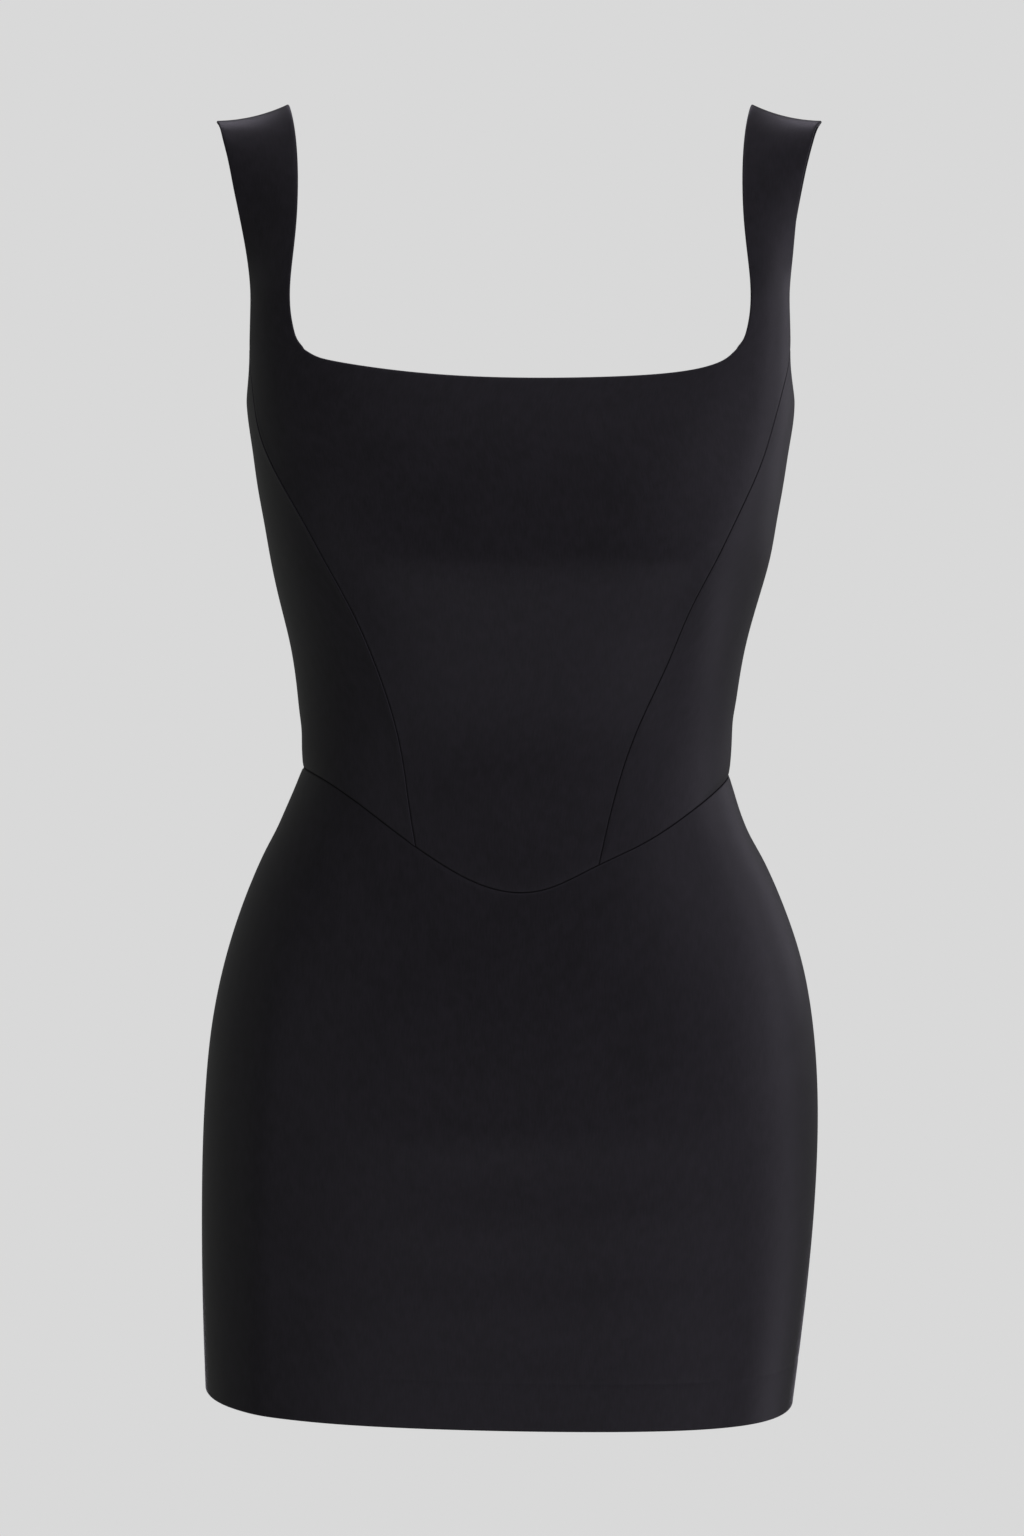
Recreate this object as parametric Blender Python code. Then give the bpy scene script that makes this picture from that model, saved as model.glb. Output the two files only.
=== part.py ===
"""A short fitted dress with a square neck, wide straps and a corset bodice that ends in a V at the waist.

It stands filled out and hollow, as it is worn. Blender's units are metres with +Z up, X to the wearer's left
and Y to the back. The origin lies midway between the straps at the top of the shoulders, where the wearer
holds the dress up. The sizes below are in millimetres, and the angles in degrees round the body, 0 at the
front's centre and positive to the wearer's left. A side is -1 for the wearer's right and 1 for the left.
"""

import math

import bmesh
import bpy
import numpy as np

MM = 0.001


def table(columns, *rows):
    """A table's columns by name."""
    return dict(zip(columns, np.array(rows, float).T, strict=True))


# Cloth and sewing
CLOTH = 1.5  # the wall: the crepe and what is turned in behind it
SEAM_GAP = 0.3  # between two pieces that are sewn together
HEM_DEPTH = 27.0  # of the hem, which is turned up inside
HEM_TURNING = 0.7  # what the turned-up layer adds to the wall
HEM_STEP = 1.0  # over which the wall thickens at the hem line
SIDE_SEAM = 95.0
SHOULDER_SEAM = 8.0  # how far behind the top of the shoulder a strap's two halves meet
PLACKET = 14.0  # the flat width beside the zip

# Heights where the outlines turn
CORNER = -136.0  # the front neck's corners, and the tops of the front princess seams
BACK_CORNER = -150.0  # the same for the back
UNDERARM = -168.0
HEM = -727.0
HEM_DROP = 4.3  # the hem hangs lower on the left by this, and higher on the right

# The skin that the cloth follows, one row a level. Right, left, front and back are its reach in x and y.
# The squareness of its front and back half is 0 for an ellipse.
BODY = table(
    ("height", "right", "left", "front", "back", "front_square", "back_square"),
    (-100, -153, 152.6, -80, 84, 0.080, 0.080),
    (-120, -153, 152.8, -86, 89, 0.080, 0.080),
    (-145, -153.3, 153, -95, 94, 0.076, 0.070),
    (-170, -152.6, 153.4, -103.5, 97, 0.070, 0.050),
    (-190, -149.8, 150.5, -109.5, 98, 0.066, 0.040),
    (-210, -147, 147.3, -113.7, 98, 0.064, 0.035),
    (-230, -143.4, 143.7, -116.3, 97, 0.060, 0.030),
    (-250, -139.9, 140.1, -117, 95, 0.054, 0.028),
    (-272, -135.4, 134.2, -113.5, 92, 0.046, 0.025),
    (-300, -128.9, 126.7, -106, 87, 0.038, 0.022),
    (-330, -124.9, 121.8, -99.5, 82, 0.030, 0.020),
    (-355, -123.9, 119.7, -96, 79.5, 0.028, 0.020),
    (-375, -126.2, 120.6, -95, 80, 0.028, 0.020),
    (-395, -133.8, 125, -95.5, 83.5, 0.028, 0.022),
    (-420, -145.7, 136.8, -97.8, 91, 0.030, 0.025),
    (-450, -158, 150, -101, 101, 0.033, 0.028),
    (-480, -167.4, 159.8, -104, 110, 0.036, 0.030),
    (-515, -174.7, 166.2, -106.5, 116.5, 0.038, 0.030),
    (-550, -178.5, 169, -107.6, 119.5, 0.040, 0.030),
    (-590, -180.5, 169, -106.8, 118, 0.040, 0.030),
    (-630, -181, 166.7, -105.3, 113, 0.040, 0.030),
    (-680, -180.4, 161.7, -103.6, 106.5, 0.042, 0.032),
    (-730, -178.8, 155.5, -102, 101.5, 0.045, 0.034),
)

# The waist seam nips the sides in, by this much and over this height
WAIST_NIP = 2.2
WAIST_NIP_REACH = 9.0

# The waist seam round the body
WAIST_LEVEL = -385.0  # about where it lies
WAIST = table(
    ("angle", "height"),
    (-180, -371),
    (-130, -370),
    (-100, -368),
    (-77, -368.3),
    (-60, -371.7),
    (-45, -380),
    (-30, -394.6),
    (-15, -414.8),
    (-5, -427.6),
    (0, -430.6),
    (5, -429.9),
    (15, -419.5),
    (30, -405),
    (45, -391.8),
    (60, -381.6),
    (77, -374.9),
    (100, -372.5),
    (130, -371),
    (180, -371),
)

# A middle panel's long edges: the princess seam up to the neck corner's height, and the armhole above it
FRONT_EDGE = table(
    ("height", "right", "left"),
    (-100, -149.2, 149.1),
    (-120, -149.3, 149.2),
    (-136, -149.5, 149.2),
    (-155, -147.5, 144.8),
    (-175, -143.7, 138.8),
    (-198, -134.7, 131.2),
    (-220, -122, 121),
    (-245, -107.4, 108.3),
    (-272, -93.1, 94.2),
    (-306, -78.6, 80.4),
    (-337, -68.6, 66.3),
    (-363, -63.3, 56.3),
    (-389, -60.2, 49.2),
    (-410, -57.2, 44.7),
)
BACK_EDGE = table(
    ("height", "right", "left"),
    (-100, -149.8, 149.4),
    (-125, -149.8, 149.6),
    (-150, -149, 149),
    (-175, -141, 141),
    (-210, -122, 122),
    (-250, -101, 101),
    (-300, -79, 79),
    (-340, -67, 67),
    (-375, -60, 60),
)

# The neck's sides, from the middle of a corner up to the strap's foot
FRONT_NECK_SIDE = table(
    ("height", "across"),
    (-136, 117.6),
    (-132, 120.7),
    (-125, 123.7),
    (-115, 125.6),
    (-105, 126.1),
)
BACK_NECK_SIDE = table(
    ("height", "across"),
    (-150, 127),
    (-145, 130.5),
    (-136, 133.5),
    (-122, 134.8),
    (-105, 134.8),
)

# The neck's lower edges, from corner to corner
FRONT_NECK = table(
    ("across", "height"),
    (-117.6, -136),
    (-112.3, -139.2),
    (-103.3, -142),
    (-86.8, -144.9),
    (-66.7, -147.6),
    (-38, -150.2),
    (0, -151.6),
    (43, -151.2),
    (70.1, -149.9),
    (90.8, -147.6),
    (105.8, -143.9),
    (113.5, -139.8),
    (117.6, -136),
)
BACK_NECK = table(
    ("across", "height"),
    (-127, -150),
    (-115, -159.5),
    (-100, -164.5),
    (-75, -168.5),
    (-40, -171),
    (0, -172),
    (40, -171),
    (75, -168.5),
    (100, -164.5),
    (115, -159.5),
    (127, -150),
)

# The straps between their feet, from the front over the shoulder to the back. The outer edge bows out more
# on the wearer's right. The crown is how far the middle stands out from a straight line between the edges.
STRAP = table(
    ("inner_x", "inner_y", "inner_z", "right_x", "left_x", "outer_y", "outer_z", "crown"),
    (124.9, -60.2, -86, 151.2, 150.8, -35.5, -85, 2.4),
    (123.0, -51.7, -65, 155.1, 152.9, -32.5, -64, 1.6),
    (122.5, -42.7, -46, 158.9, 155.6, -28.5, -46, 0.9),
    (123.1, -33.7, -30, 162.2, 159.2, -22.8, -30, 0.2),
    (124.8, -23.5, -15, 165.6, 162.8, -15.5, -17, -0.8),
    (127.2, -12.5, -4, 167.8, 165.6, -8.0, -10, -1.7),
    (129.6, 0.0, 2, 169.5, 168.6, 0.0, -7.3, -2.2),
    (130.4, 12.0, -2, 167.4, 167.4, 8.2, -9.6, -1.6),
    (130.4, 23.0, -12, 165.0, 165.0, 16.5, -18, -0.8),
    (130.3, 33.0, -26, 162.4, 162.4, 23.5, -30, 0.0),
    (130.4, 42.0, -43, 159.7, 159.7, 29.2, -45, 0.6),
    (131.3, 50.5, -63, 156.8, 156.8, 33.8, -63, 1.1),
    (133.2, 58.0, -84, 153.6, 153.6, 37.0, -84, 1.6),
)
CREST = 6  # the row at the top of the shoulder

# The concealed zip in the centre-back seam
ZIP_END = -500.0
TAPE_HALF_WIDTH = 12.0
TAPE = 0.8
COIL_HALF_WIDTH = 2.2
COIL = 1.2  # how far the coil stands in from the tape
ZIP_CLEARANCE = 0.35
SLIDER = -180.0
SLIDER_HALF_WIDTH = 2.4
SLIDER_HALF_HEIGHT = 4.2
SLIDER_PLATE = 1.5
SLIDER_GAP = 0.8  # how far the back's edges stand from the centre beside the slider
PLACKET_CLOSED = -215.0  # the edges have closed by here
BRIDGE_HALF_WIDTH = 0.5
BRIDGE_HALF_HEIGHT = 2.5
BRIDGE_WALL = 0.8
SADDLE_HALF_WIDTH = 1.3
SADDLE_HALF_HEIGHT = 3.3
SADDLE = 0.75
PULL = 0.8  # the tab's thickness, and its bar's
PULL_EYE_LENGTH = 2.9
PULL_EYE_HALF_WIDTH = 1.0
PULL_OUTLINE = table(
    ("below_bar", "half_width"),
    (-0.4, 1.5),
    (0.2, 2.1),
    (4, 2.1),
    (7, 1.5),
    (12, 1.9),
    (17, 2.6),
    (20, 2.3),
    (22, 0.9),
)

# How finely the pieces are divided
BODICE_ROWS = 14
SKIRT_ROWS = 16
HEM_SPLIT = 2
STRAP_SPLIT = 4
CENTRE_SPLIT = 10
SIDE_SPLIT = 7
BACK_SIDE_SPLIT = 6
BACK_SPLIT = 5

CREPE_BLACK = (0.013, 0.0115, 0.0145, 1.0)
TAPE_BLACK = (0.010, 0.010, 0.011, 1.0)
LACQUER_BLACK = (0.015, 0.015, 0.016, 1.0)


class Curve:
    """A smooth curve through a table's rows: the first column says where, and the rest what is there."""

    def __init__(self, columns):
        where, *what = columns.values()
        order = np.argsort(where)
        self.at = where[order]
        self.values = np.stack(what, -1)[order]
        step = np.diff(self.at)
        slope = np.diff(self.values, axis=0) / step[:, None]
        system = np.eye(len(self.at))
        wanted = np.zeros_like(self.values)
        for i in range(1, len(self.at) - 1):
            system[i, i - 1 : i + 2] = step[i - 1], 2 * (step[i - 1] + step[i]), step[i]
            wanted[i] = 6 * (slope[i] - slope[i - 1])
        self.bend = np.linalg.solve(system, wanted)

    def __call__(self, at):
        at = np.asarray(at, float)
        i = np.clip(np.searchsorted(self.at, at) - 1, 0, len(self.at) - 2)
        step = (self.at[i + 1] - self.at[i])[..., None]
        after = (at - self.at[i])[..., None] / step
        before = 1 - after
        bow = (before**3 - before) * self.bend[i] + (after**3 - after) * self.bend[i + 1]
        return before * self.values[i] + after * self.values[i + 1] + bow * step**2 / 6


BODY_CURVE = Curve(BODY)
WAIST_CURVE = Curve(WAIST)
FRONT_EDGE_CURVE = Curve(FRONT_EDGE)
BACK_EDGE_CURVE = Curve(BACK_EDGE)
FRONT_NECK_CURVE = Curve(FRONT_NECK)
BACK_NECK_CURVE = Curve(BACK_NECK)


def blend(start, end, share):
    return start + (end - start) * share


def unit(vectors):
    return vectors / np.linalg.norm(vectors, axis=-1, keepdims=True)


def even_spread(count):
    return np.arange(count + 1) / count


def waist(angle):
    """The waist seam's height."""
    return WAIST_CURVE((angle + 180) % 360 - 180)[..., 0]


def hem(angle):
    """The hem's height."""
    return HEM - HEM_DROP * np.sin(np.radians(angle))


def body(angle, height):
    """The skin's point at an angle and a height."""
    angle, height = np.broadcast_arrays(np.asarray(angle, float), np.asarray(height, float))
    turn = np.radians(angle)
    right, left, front, back, front_square, back_square = np.moveaxis(BODY_CURVE(height), -1, 0)
    square = blend(front_square, back_square, (1 - np.cos(turn)) / 2)
    nip = WAIST_NIP * np.exp(-np.abs(height - waist(angle)) / WAIST_NIP_REACH) * np.sin(turn) ** 4
    half_width = (left - right) / 2 - nip
    half_depth = (back - front) / 2
    x = (left + right) / 2 + half_width * (np.sin(turn) + square * np.sin(3 * turn)) / (1 - square)
    y = (back + front) / 2 - half_depth * (np.cos(turn) - square * np.cos(3 * turn)) / (1 - square)
    return np.stack([x, y, height], -1)


def outward(angle, height):
    """The direction that the skin faces."""
    turn = 0.05
    rise = 0.05
    round_body = body(angle + turn, height) - body(angle - turn, height)
    up_body = body(angle, height + rise) - body(angle, height - rise)
    return unit(np.cross(round_body, up_body))


def angle_across(across, height, back):
    """The angle at which the front or back half of the skin is this far to the left."""
    across, height = np.broadcast_arrays(across, height)
    low = np.full(across.shape, -90.0)
    high = np.full(across.shape, 90.0)
    for _ in range(40):
        middle = (low + high) / 2
        short = body(180 - middle if back else middle, height)[..., 0] < across
        low = np.where(short, middle, low)
        high = np.where(short, high, middle)
    if not back:
        return low
    return np.where(across < 0, -180 - low, 180 - low)


def front_edge(side):
    """The front panel's long edge on one side, as its angle at each height."""
    return lambda height: angle_across(FRONT_EDGE_CURVE(height)[..., (side + 1) // 2], height, back=False)


def back_edge(side):
    """The back panel's long edge on one side."""
    return lambda height: angle_across(BACK_EDGE_CURVE(height)[..., (side + 1) // 2], height, back=True)


def side_seam(side):
    return lambda height: np.full(np.shape(height), side * SIDE_SEAM)


def centre_back(height):
    """How far to the left the centre of the back lies."""
    return body(180.0, height)[..., 0]


def placket(side):
    """The line that lies a placket's width from the zip."""
    return lambda height: angle_across(centre_back(height) + side * PLACKET, height, back=True)


def foot_of(edge):
    """The angle where an edge meets the waist seam."""
    angle = edge(WAIST_LEVEL)
    for _ in range(60):
        angle = blend(angle, edge(waist(angle)), 0.5)
    return angle


def fan(first_edge, last_edge, foot_angles, end_angles, heights, progress):
    """The angles of a piece's points. Its columns keep between its long edges from its foot to its end."""

    def share(angles, levels):
        return (angles - first_edge(levels)) / (last_edge(levels) - first_edge(levels))

    columns = blend(share(foot_angles, heights[0]), share(end_angles, heights[-1]), progress)
    return blend(first_edge(heights), last_edge(heights), columns)


def bodice_piece(first_edge, last_edge, foot_angles, top_angles, top_heights):
    """The angles and heights of a bodice piece, row by row from the waist seam up."""
    rise = even_spread(BODICE_ROWS)[:, None]
    heights = blend(waist(foot_angles), top_heights, rise)
    return fan(first_edge, last_edge, foot_angles, top_angles, heights, rise), heights


def skirt_piece(first_edge, last_edge, foot_angles, hem_angles):
    """The angles and heights of a skirt piece, row by row from the waist seam down."""
    top = waist(foot_angles)
    bottom = hem(hem_angles)
    hem_line = bottom + HEM_DEPTH
    fall = even_spread(SKIRT_ROWS)[:, None]
    turned = even_spread(HEM_SPLIT)[1:, None]
    rows = [blend(top, hem_line, fall), [hem_line - HEM_STEP], blend(hem_line, bottom, turned)]
    heights = np.concatenate(rows)
    progress = (top - heights) / (top - bottom)
    return fan(first_edge, last_edge, foot_angles, hem_angles, heights, progress), heights


def with_centre_back(angles, heights, side):
    """Adds the last column, at the centre of the back."""
    centre = np.full((len(angles), 1), side * 180.0)
    return np.hstack([angles, centre]), np.hstack([heights, heights[:, -1:]])


def drawn_back(edge, inner, gap):
    """Edge points moved back from a seam, towards the piece's next points."""
    return edge + unit(inner - edge) * gap


def sewn(points, first_rows, last_rows):
    """A piece with its seam edges drawn back: its whole foot, and this many rows of its long edges."""
    points = points.copy()
    half_gap = SEAM_GAP / 2
    points[0] = drawn_back(points[0], points[1], half_gap)
    points[:first_rows, 0] = drawn_back(points[:first_rows, 0], points[:first_rows, 1], half_gap)
    points[:last_rows, -1] = drawn_back(points[:last_rows, -1], points[:last_rows, -2], half_gap)
    return points


class Strap:
    """One strap, row by row from its foot on the front over the shoulder to its foot on the back.

    Each row runs from the neck's edge to the armhole's.
    """

    def __init__(self, side):
        self.side = side
        front_points, front_facings = self.foot(FRONT_NECK_SIDE, back=False)
        back_points, back_facings = self.foot(BACK_NECK_SIDE, back=True)
        self.points = np.concatenate([front_points, self.free_length(), back_points[::-1]])
        across = np.gradient(self.points, axis=1)
        along = np.gradient(self.points, axis=0)
        self.facings = unit(np.cross(across, along)) * side
        self.facings[: len(front_facings)] = front_facings
        self.facings[-len(back_facings) :] = back_facings[::-1]
        self.crest = len(front_points) + CREST

    def foot(self, neck_side, back):
        """The rows that lie on the body, from the neck's corner up."""
        heights, across = neck_side.values()
        inner = angle_across(self.side * across, heights, back)
        outer = (back_edge if back else front_edge)(self.side)(heights)
        angles = blend(inner[:, None], outer[:, None], even_spread(STRAP_SPLIT))
        return body(angles, heights[:, None]), outward(angles, heights[:, None])

    def free_length(self):
        """The rows above the body, each bowed by its crown."""
        outer_x = STRAP["right_x" if self.side < 0 else "left_x"]
        inner = np.stack([self.side * STRAP["inner_x"], STRAP["inner_y"], STRAP["inner_z"]], -1)[:, None]
        outer = np.stack([self.side * outer_x, STRAP["outer_y"], STRAP["outer_z"]], -1)[:, None]
        along = np.gradient((inner + outer) / 2, axis=0)
        facing = unit(np.cross(outer - inner, along)) * self.side
        share = even_spread(STRAP_SPLIT)[:, None]
        return blend(inner, outer, share) + facing * STRAP["crown"][:, None, None] * 4 * share * (1 - share)

    def half(self, back):
        """The points and facings of its front or back half, from the foot to the shoulder seam."""
        crest = self.crest
        reach = np.linalg.norm(self.points[crest + 1] - self.points[crest], axis=-1).mean()
        share = (SHOULDER_SEAM + (SEAM_GAP if back else -SEAM_GAP) / 2) / reach
        halves = []
        for rows in (self.points, self.facings):
            seam = blend(rows[crest], rows[crest + 1], share)[None]
            if back:
                halves.append(np.concatenate([seam, rows[crest + 1 :]])[::-1])
            else:
                halves.append(np.concatenate([rows[: crest + 1], seam]))
        return halves[0], unit(halves[1])


def solid(name, points, polygons, material):
    """An object from points in millimetres and its polygons."""
    shell = bmesh.new()
    corners = [shell.verts.new(point * MM) for point in np.asarray(points, float)]
    for polygon in polygons:
        shell.faces.new([corners[i] for i in polygon])
    bmesh.ops.recalc_face_normals(shell, faces=shell.faces)
    mesh = bpy.data.meshes.new(name)
    shell.to_mesh(mesh)
    shell.free()
    mesh.materials.append(material)
    mesh.shade_smooth()
    mesh.set_sharp_from_angle(angle=math.radians(40))
    built = bpy.data.objects.new(name, mesh)
    bpy.context.scene.collection.objects.link(built)
    return built


def wall(name, points, facings, thickness, cloth, material):
    """A closed wall behind a grid of outer points. `cloth` says which of the grid's cells it covers."""
    cells = np.argwhere(cloth)
    used = np.zeros(points.shape[:2], bool)
    for row, column in cells:
        used[row : row + 2, column : column + 2] = True
    number = np.cumsum(used).reshape(used.shape) - 1
    outer = points[used]
    depth = np.broadcast_to(thickness, used.shape)[used][:, None]
    count = len(outer)
    polygons = []
    sides = set()
    for row, column in cells:
        ring = number[[row, row, row + 1, row + 1], [column, column + 1, column + 1, column]].tolist()
        polygons.append(ring)
        polygons.append([corner + count for corner in reversed(ring)])
        sides.update(zip(ring, ring[1:] + ring[:1]))
    for start, end in sorted(sides):
        if (end, start) not in sides:
            polygons.append([end, start, start + count, end + count])
    return solid(name, np.concatenate([outer, outer - facings[used] * depth]), polygons, material)


def with_straps(points, facings, halves, width):
    """A panel's grid carried up into its straps, given as (first column, points, facings) each."""
    extra = len(halves[0][1]) - 1
    tall = np.concatenate([points, np.zeros((extra, width, 3))])
    tall_facings = np.concatenate([facings, np.zeros((extra, width, 3))])
    cloth = np.ones((len(tall) - 1, width - 1), bool)
    cloth[len(points) - 1 :] = False
    for column, strap_points, strap_facings in halves:
        columns = slice(column, column + STRAP_SPLIT + 1)
        tall[len(points) :, columns] = strap_points[1:]
        tall_facings[len(points) :, columns] = strap_facings[1:]
        cloth[len(points) - 1 :, column : column + STRAP_SPLIT] = True
    return tall, tall_facings, cloth


def front_centre_panel(straps, feet, material):
    """The corset front, cut in one with the front halves of both straps."""
    neck = FRONT_NECK["across"][-1] * -np.cos(np.pi * even_spread(CENTRE_SPLIT))
    neck_heights = FRONT_NECK_CURVE(neck)[..., 0]
    neck_angles = angle_across(neck, neck_heights, back=False)
    right = blend(front_edge(-1)(CORNER), neck_angles[0], even_spread(STRAP_SPLIT))
    left = blend(neck_angles[-1], front_edge(1)(CORNER), even_spread(STRAP_SPLIT))
    top_angles = np.concatenate([right, neck_angles[1:-1], left])
    level = np.full(STRAP_SPLIT + 1, CORNER)
    top_heights = np.concatenate([level, neck_heights[1:-1], level])
    angles, heights = bodice_piece(front_edge(-1), front_edge(1), feet, top_angles, top_heights)
    points = sewn(body(angles, heights), BODICE_ROWS + 1, BODICE_ROWS + 1)
    right_points, right_facings = straps[-1].half(back=False)
    left_points, left_facings = straps[1].half(back=False)
    halves = [
        (0, right_points[:, ::-1], right_facings[:, ::-1]),
        (STRAP_SPLIT + CENTRE_SPLIT, left_points, left_facings),
    ]
    grid = with_straps(points, outward(angles, heights), halves, len(feet))
    return wall("front_centre_panel", grid[0], grid[1], CLOTH, grid[2], material)


def armhole_height(start, share):
    """The armhole's height under the arm: a quarter ellipse from a princess seam's top to the side seam."""
    return blend(start, UNDERARM, np.sin(share * math.pi / 2))


def side_panel(name, edge, side, feet, corner, material):
    """A bodice side panel, from a princess seam to the side seam."""
    share = even_spread(len(feet) - 1)
    top = edge(corner)
    top_angles = blend(top, side * SIDE_SEAM, 1 - np.cos(share * math.pi / 2))
    top_heights = armhole_height(corner, share)
    angles, heights = bodice_piece(edge, side_seam(side), feet, top_angles, top_heights)
    rows = BODICE_ROWS + 1
    points = sewn(body(angles, heights), rows, rows)
    cloth = np.ones((BODICE_ROWS, len(feet) - 1), bool)
    return wall(name, points, outward(angles, heights), CLOTH, cloth, material)


def centre_back_heights():
    """The heights of the bodice's rows at the centre of the back."""
    return blend(waist(180.0), BACK_NECK_CURVE(0.0)[0], even_spread(BODICE_ROWS))


def placket_gap(height):
    """How far a back piece's edge stands from the centre: more where the slider's neck passes."""
    share = np.clip((height - PLACKET_CLOSED) / (SLIDER - SLIDER_HALF_HEIGHT - PLACKET_CLOSED), 0, 1)
    return blend(SEAM_GAP / 2, SLIDER_GAP, share * share * (3 - 2 * share))


def at_zip(points, heights, rows):
    """A back piece with its edge drawn back from the centre, where the zip closes it."""
    points = points.copy()
    gap = placket_gap(heights[:rows, -1])[:, None]
    points[:rows, -1] = drawn_back(points[:rows, -1], points[:rows, -2], gap)
    return points


def back_panel(name, side, strap, feet, material):
    """Half the back, cut in one with the back half of its strap."""
    corner = BACK_NECK["across"][-1]
    neck = side * corner * np.cos(math.acos(PLACKET / corner) * even_spread(BACK_SPLIT))
    neck_heights = BACK_NECK_CURVE(neck)[..., 0]
    neck_angles = angle_across(neck, neck_heights, back=True)
    strap_top = blend(back_edge(side)(BACK_CORNER), neck_angles[0], even_spread(STRAP_SPLIT))
    top_angles = np.concatenate([strap_top, neck_angles[1:]])
    top_heights = np.concatenate([np.full(STRAP_SPLIT + 1, BACK_CORNER), neck_heights[1:]])
    angles, heights = bodice_piece(back_edge(side), placket(side), feet, top_angles, top_heights)
    angles, heights = with_centre_back(angles, heights, side)
    heights[:, -1] = centre_back_heights()
    points = at_zip(sewn(body(angles, heights), BODICE_ROWS + 1, 0), heights, BODICE_ROWS + 1)
    strap_points, strap_facings = strap.half(back=True)
    halves = [(0, strap_points[:, ::-1], strap_facings[:, ::-1])]
    grid = with_straps(points, outward(angles, heights), halves, angles.shape[1])
    return wall(name, grid[0], grid[1], CLOTH, grid[2], material)


def skirt_wall(name, angles, heights, points, material):
    """A skirt piece, thicker where its hem is turned up."""
    thickness = np.full((len(angles), 1), CLOTH)
    thickness[SKIRT_ROWS + 1 :] += HEM_TURNING
    cloth = np.ones((angles.shape[0] - 1, angles.shape[1] - 1), bool)
    return wall(name, points, outward(angles, heights), thickness, cloth, material)


def skirt_front(feet, material):
    hem_angles = blend(-SIDE_SEAM, SIDE_SEAM, even_spread(len(feet) - 1))
    angles, heights = skirt_piece(side_seam(-1), side_seam(1), feet, hem_angles)
    points = sewn(body(angles, heights), len(angles), len(angles))
    return skirt_wall("skirt_front", angles, heights, points, material)


def skirt_back(name, side, feet, material):
    hem_angles = blend(side * SIDE_SEAM, placket(side)(HEM), even_spread(len(feet) - 1))
    angles, heights = skirt_piece(side_seam(side), placket(side), feet, hem_angles)
    angles, heights = with_centre_back(angles, heights, side)
    points = sewn(body(angles, heights), len(angles), len(angles))
    return skirt_wall(name, angles, heights, points, material)


def zip_tape(material):
    """The two tapes and the closed coil, lying inside the back's pieces along the centre."""
    bodice = centre_back_heights()
    skirt = blend(waist(180.0), hem(180.0) + HEM_DEPTH, even_spread(SKIRT_ROWS))
    top = SLIDER - SLIDER_HALF_HEIGHT - ZIP_CLEARANCE
    between = [height for height in {*bodice, *skirt} if ZIP_END + 4 < height < top - 4]
    heights = np.array(sorted([ZIP_END, top, *between]))[:, None]
    cloth_side = CLOTH + ZIP_CLEARANCE
    inside = cloth_side + TAPE
    across = np.array([-TAPE_HALF_WIDTH, 0, TAPE_HALF_WIDTH, TAPE_HALF_WIDTH])
    across = np.concatenate([across, [COIL_HALF_WIDTH] * 2, [-COIL_HALF_WIDTH] * 2, [-TAPE_HALF_WIDTH]])
    depth = np.array([cloth_side] * 3 + [inside] * 2 + [inside + COIL] * 2 + [inside] * 2)
    angles = angle_across(centre_back(heights) + across, heights, back=True)
    rings = body(angles, heights) - outward(angles, heights) * depth[:, None]
    rows, sides = rings.shape[:2]
    polygons = [list(range(sides)), list(range((rows - 1) * sides, rows * sides))]
    for row in range(rows - 1):
        for i in range(sides):
            here = row * sides
            after = (i + 1) % sides
            polygons.append([here + i, here + after, here + sides + after, here + sides + i])
    return solid("zip_tape", rings.reshape(-1, 3), polygons, material)


def block(name, low, high, material):
    """A box between two corners."""
    corners = np.array([[(low, high)[i >> axis & 1][axis] for axis in range(3)] for i in range(8)])
    polygons = [[0, 1, 3, 2], [4, 5, 7, 6], [0, 1, 5, 4], [2, 3, 7, 6], [0, 2, 6, 4], [1, 3, 7, 5]]
    return solid(name, corners, polygons, material)


def combine(target, operation, helper):
    """Joins a helper to its target, or cuts the target with it."""
    modifier = target.modifiers.new(helper.name, "BOOLEAN")
    modifier.operation = operation
    modifier.solver = "EXACT"
    modifier.object = helper
    helper.hide_render = True
    helper.display_type = "WIRE"
    helper.parent = target


def zip_slider(mount, bridge_reach, material):
    """The slider: a plate inside, a neck through the seam, and a saddle and a bridge outside."""
    plate_top = -CLOTH - ZIP_CLEARANCE
    half_width = SLIDER_HALF_WIDTH
    half_height = SLIDER_HALF_HEIGHT
    low = (-half_width, plate_top - SLIDER_PLATE, -half_height)
    slider = block("zip_slider", low, (half_width, plate_top, half_height), material)
    low = (-BRIDGE_HALF_WIDTH, plate_top - SLIDER_PLATE / 2, -BRIDGE_HALF_HEIGHT)
    bridge = block("slider_bridge", low, (BRIDGE_HALF_WIDTH, bridge_reach, BRIDGE_HALF_HEIGHT), material)
    low = (-SADDLE_HALF_WIDTH, ZIP_CLEARANCE, -SADDLE_HALF_HEIGHT)
    high = (SADDLE_HALF_WIDTH, ZIP_CLEARANCE + SADDLE, SADDLE_HALF_HEIGHT)
    saddle = block("slider_saddle", low, high, material)
    opening = BRIDGE_HALF_HEIGHT - BRIDGE_WALL
    low = (-half_width, ZIP_CLEARANCE + SADDLE, -opening)
    window = block("slider_window", low, (half_width, bridge_reach - BRIDGE_WALL, opening), material)
    combine(slider, "UNION", bridge)
    combine(slider, "UNION", saddle)
    combine(slider, "DIFFERENCE", window)
    slider.parent = mount
    return slider


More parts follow.
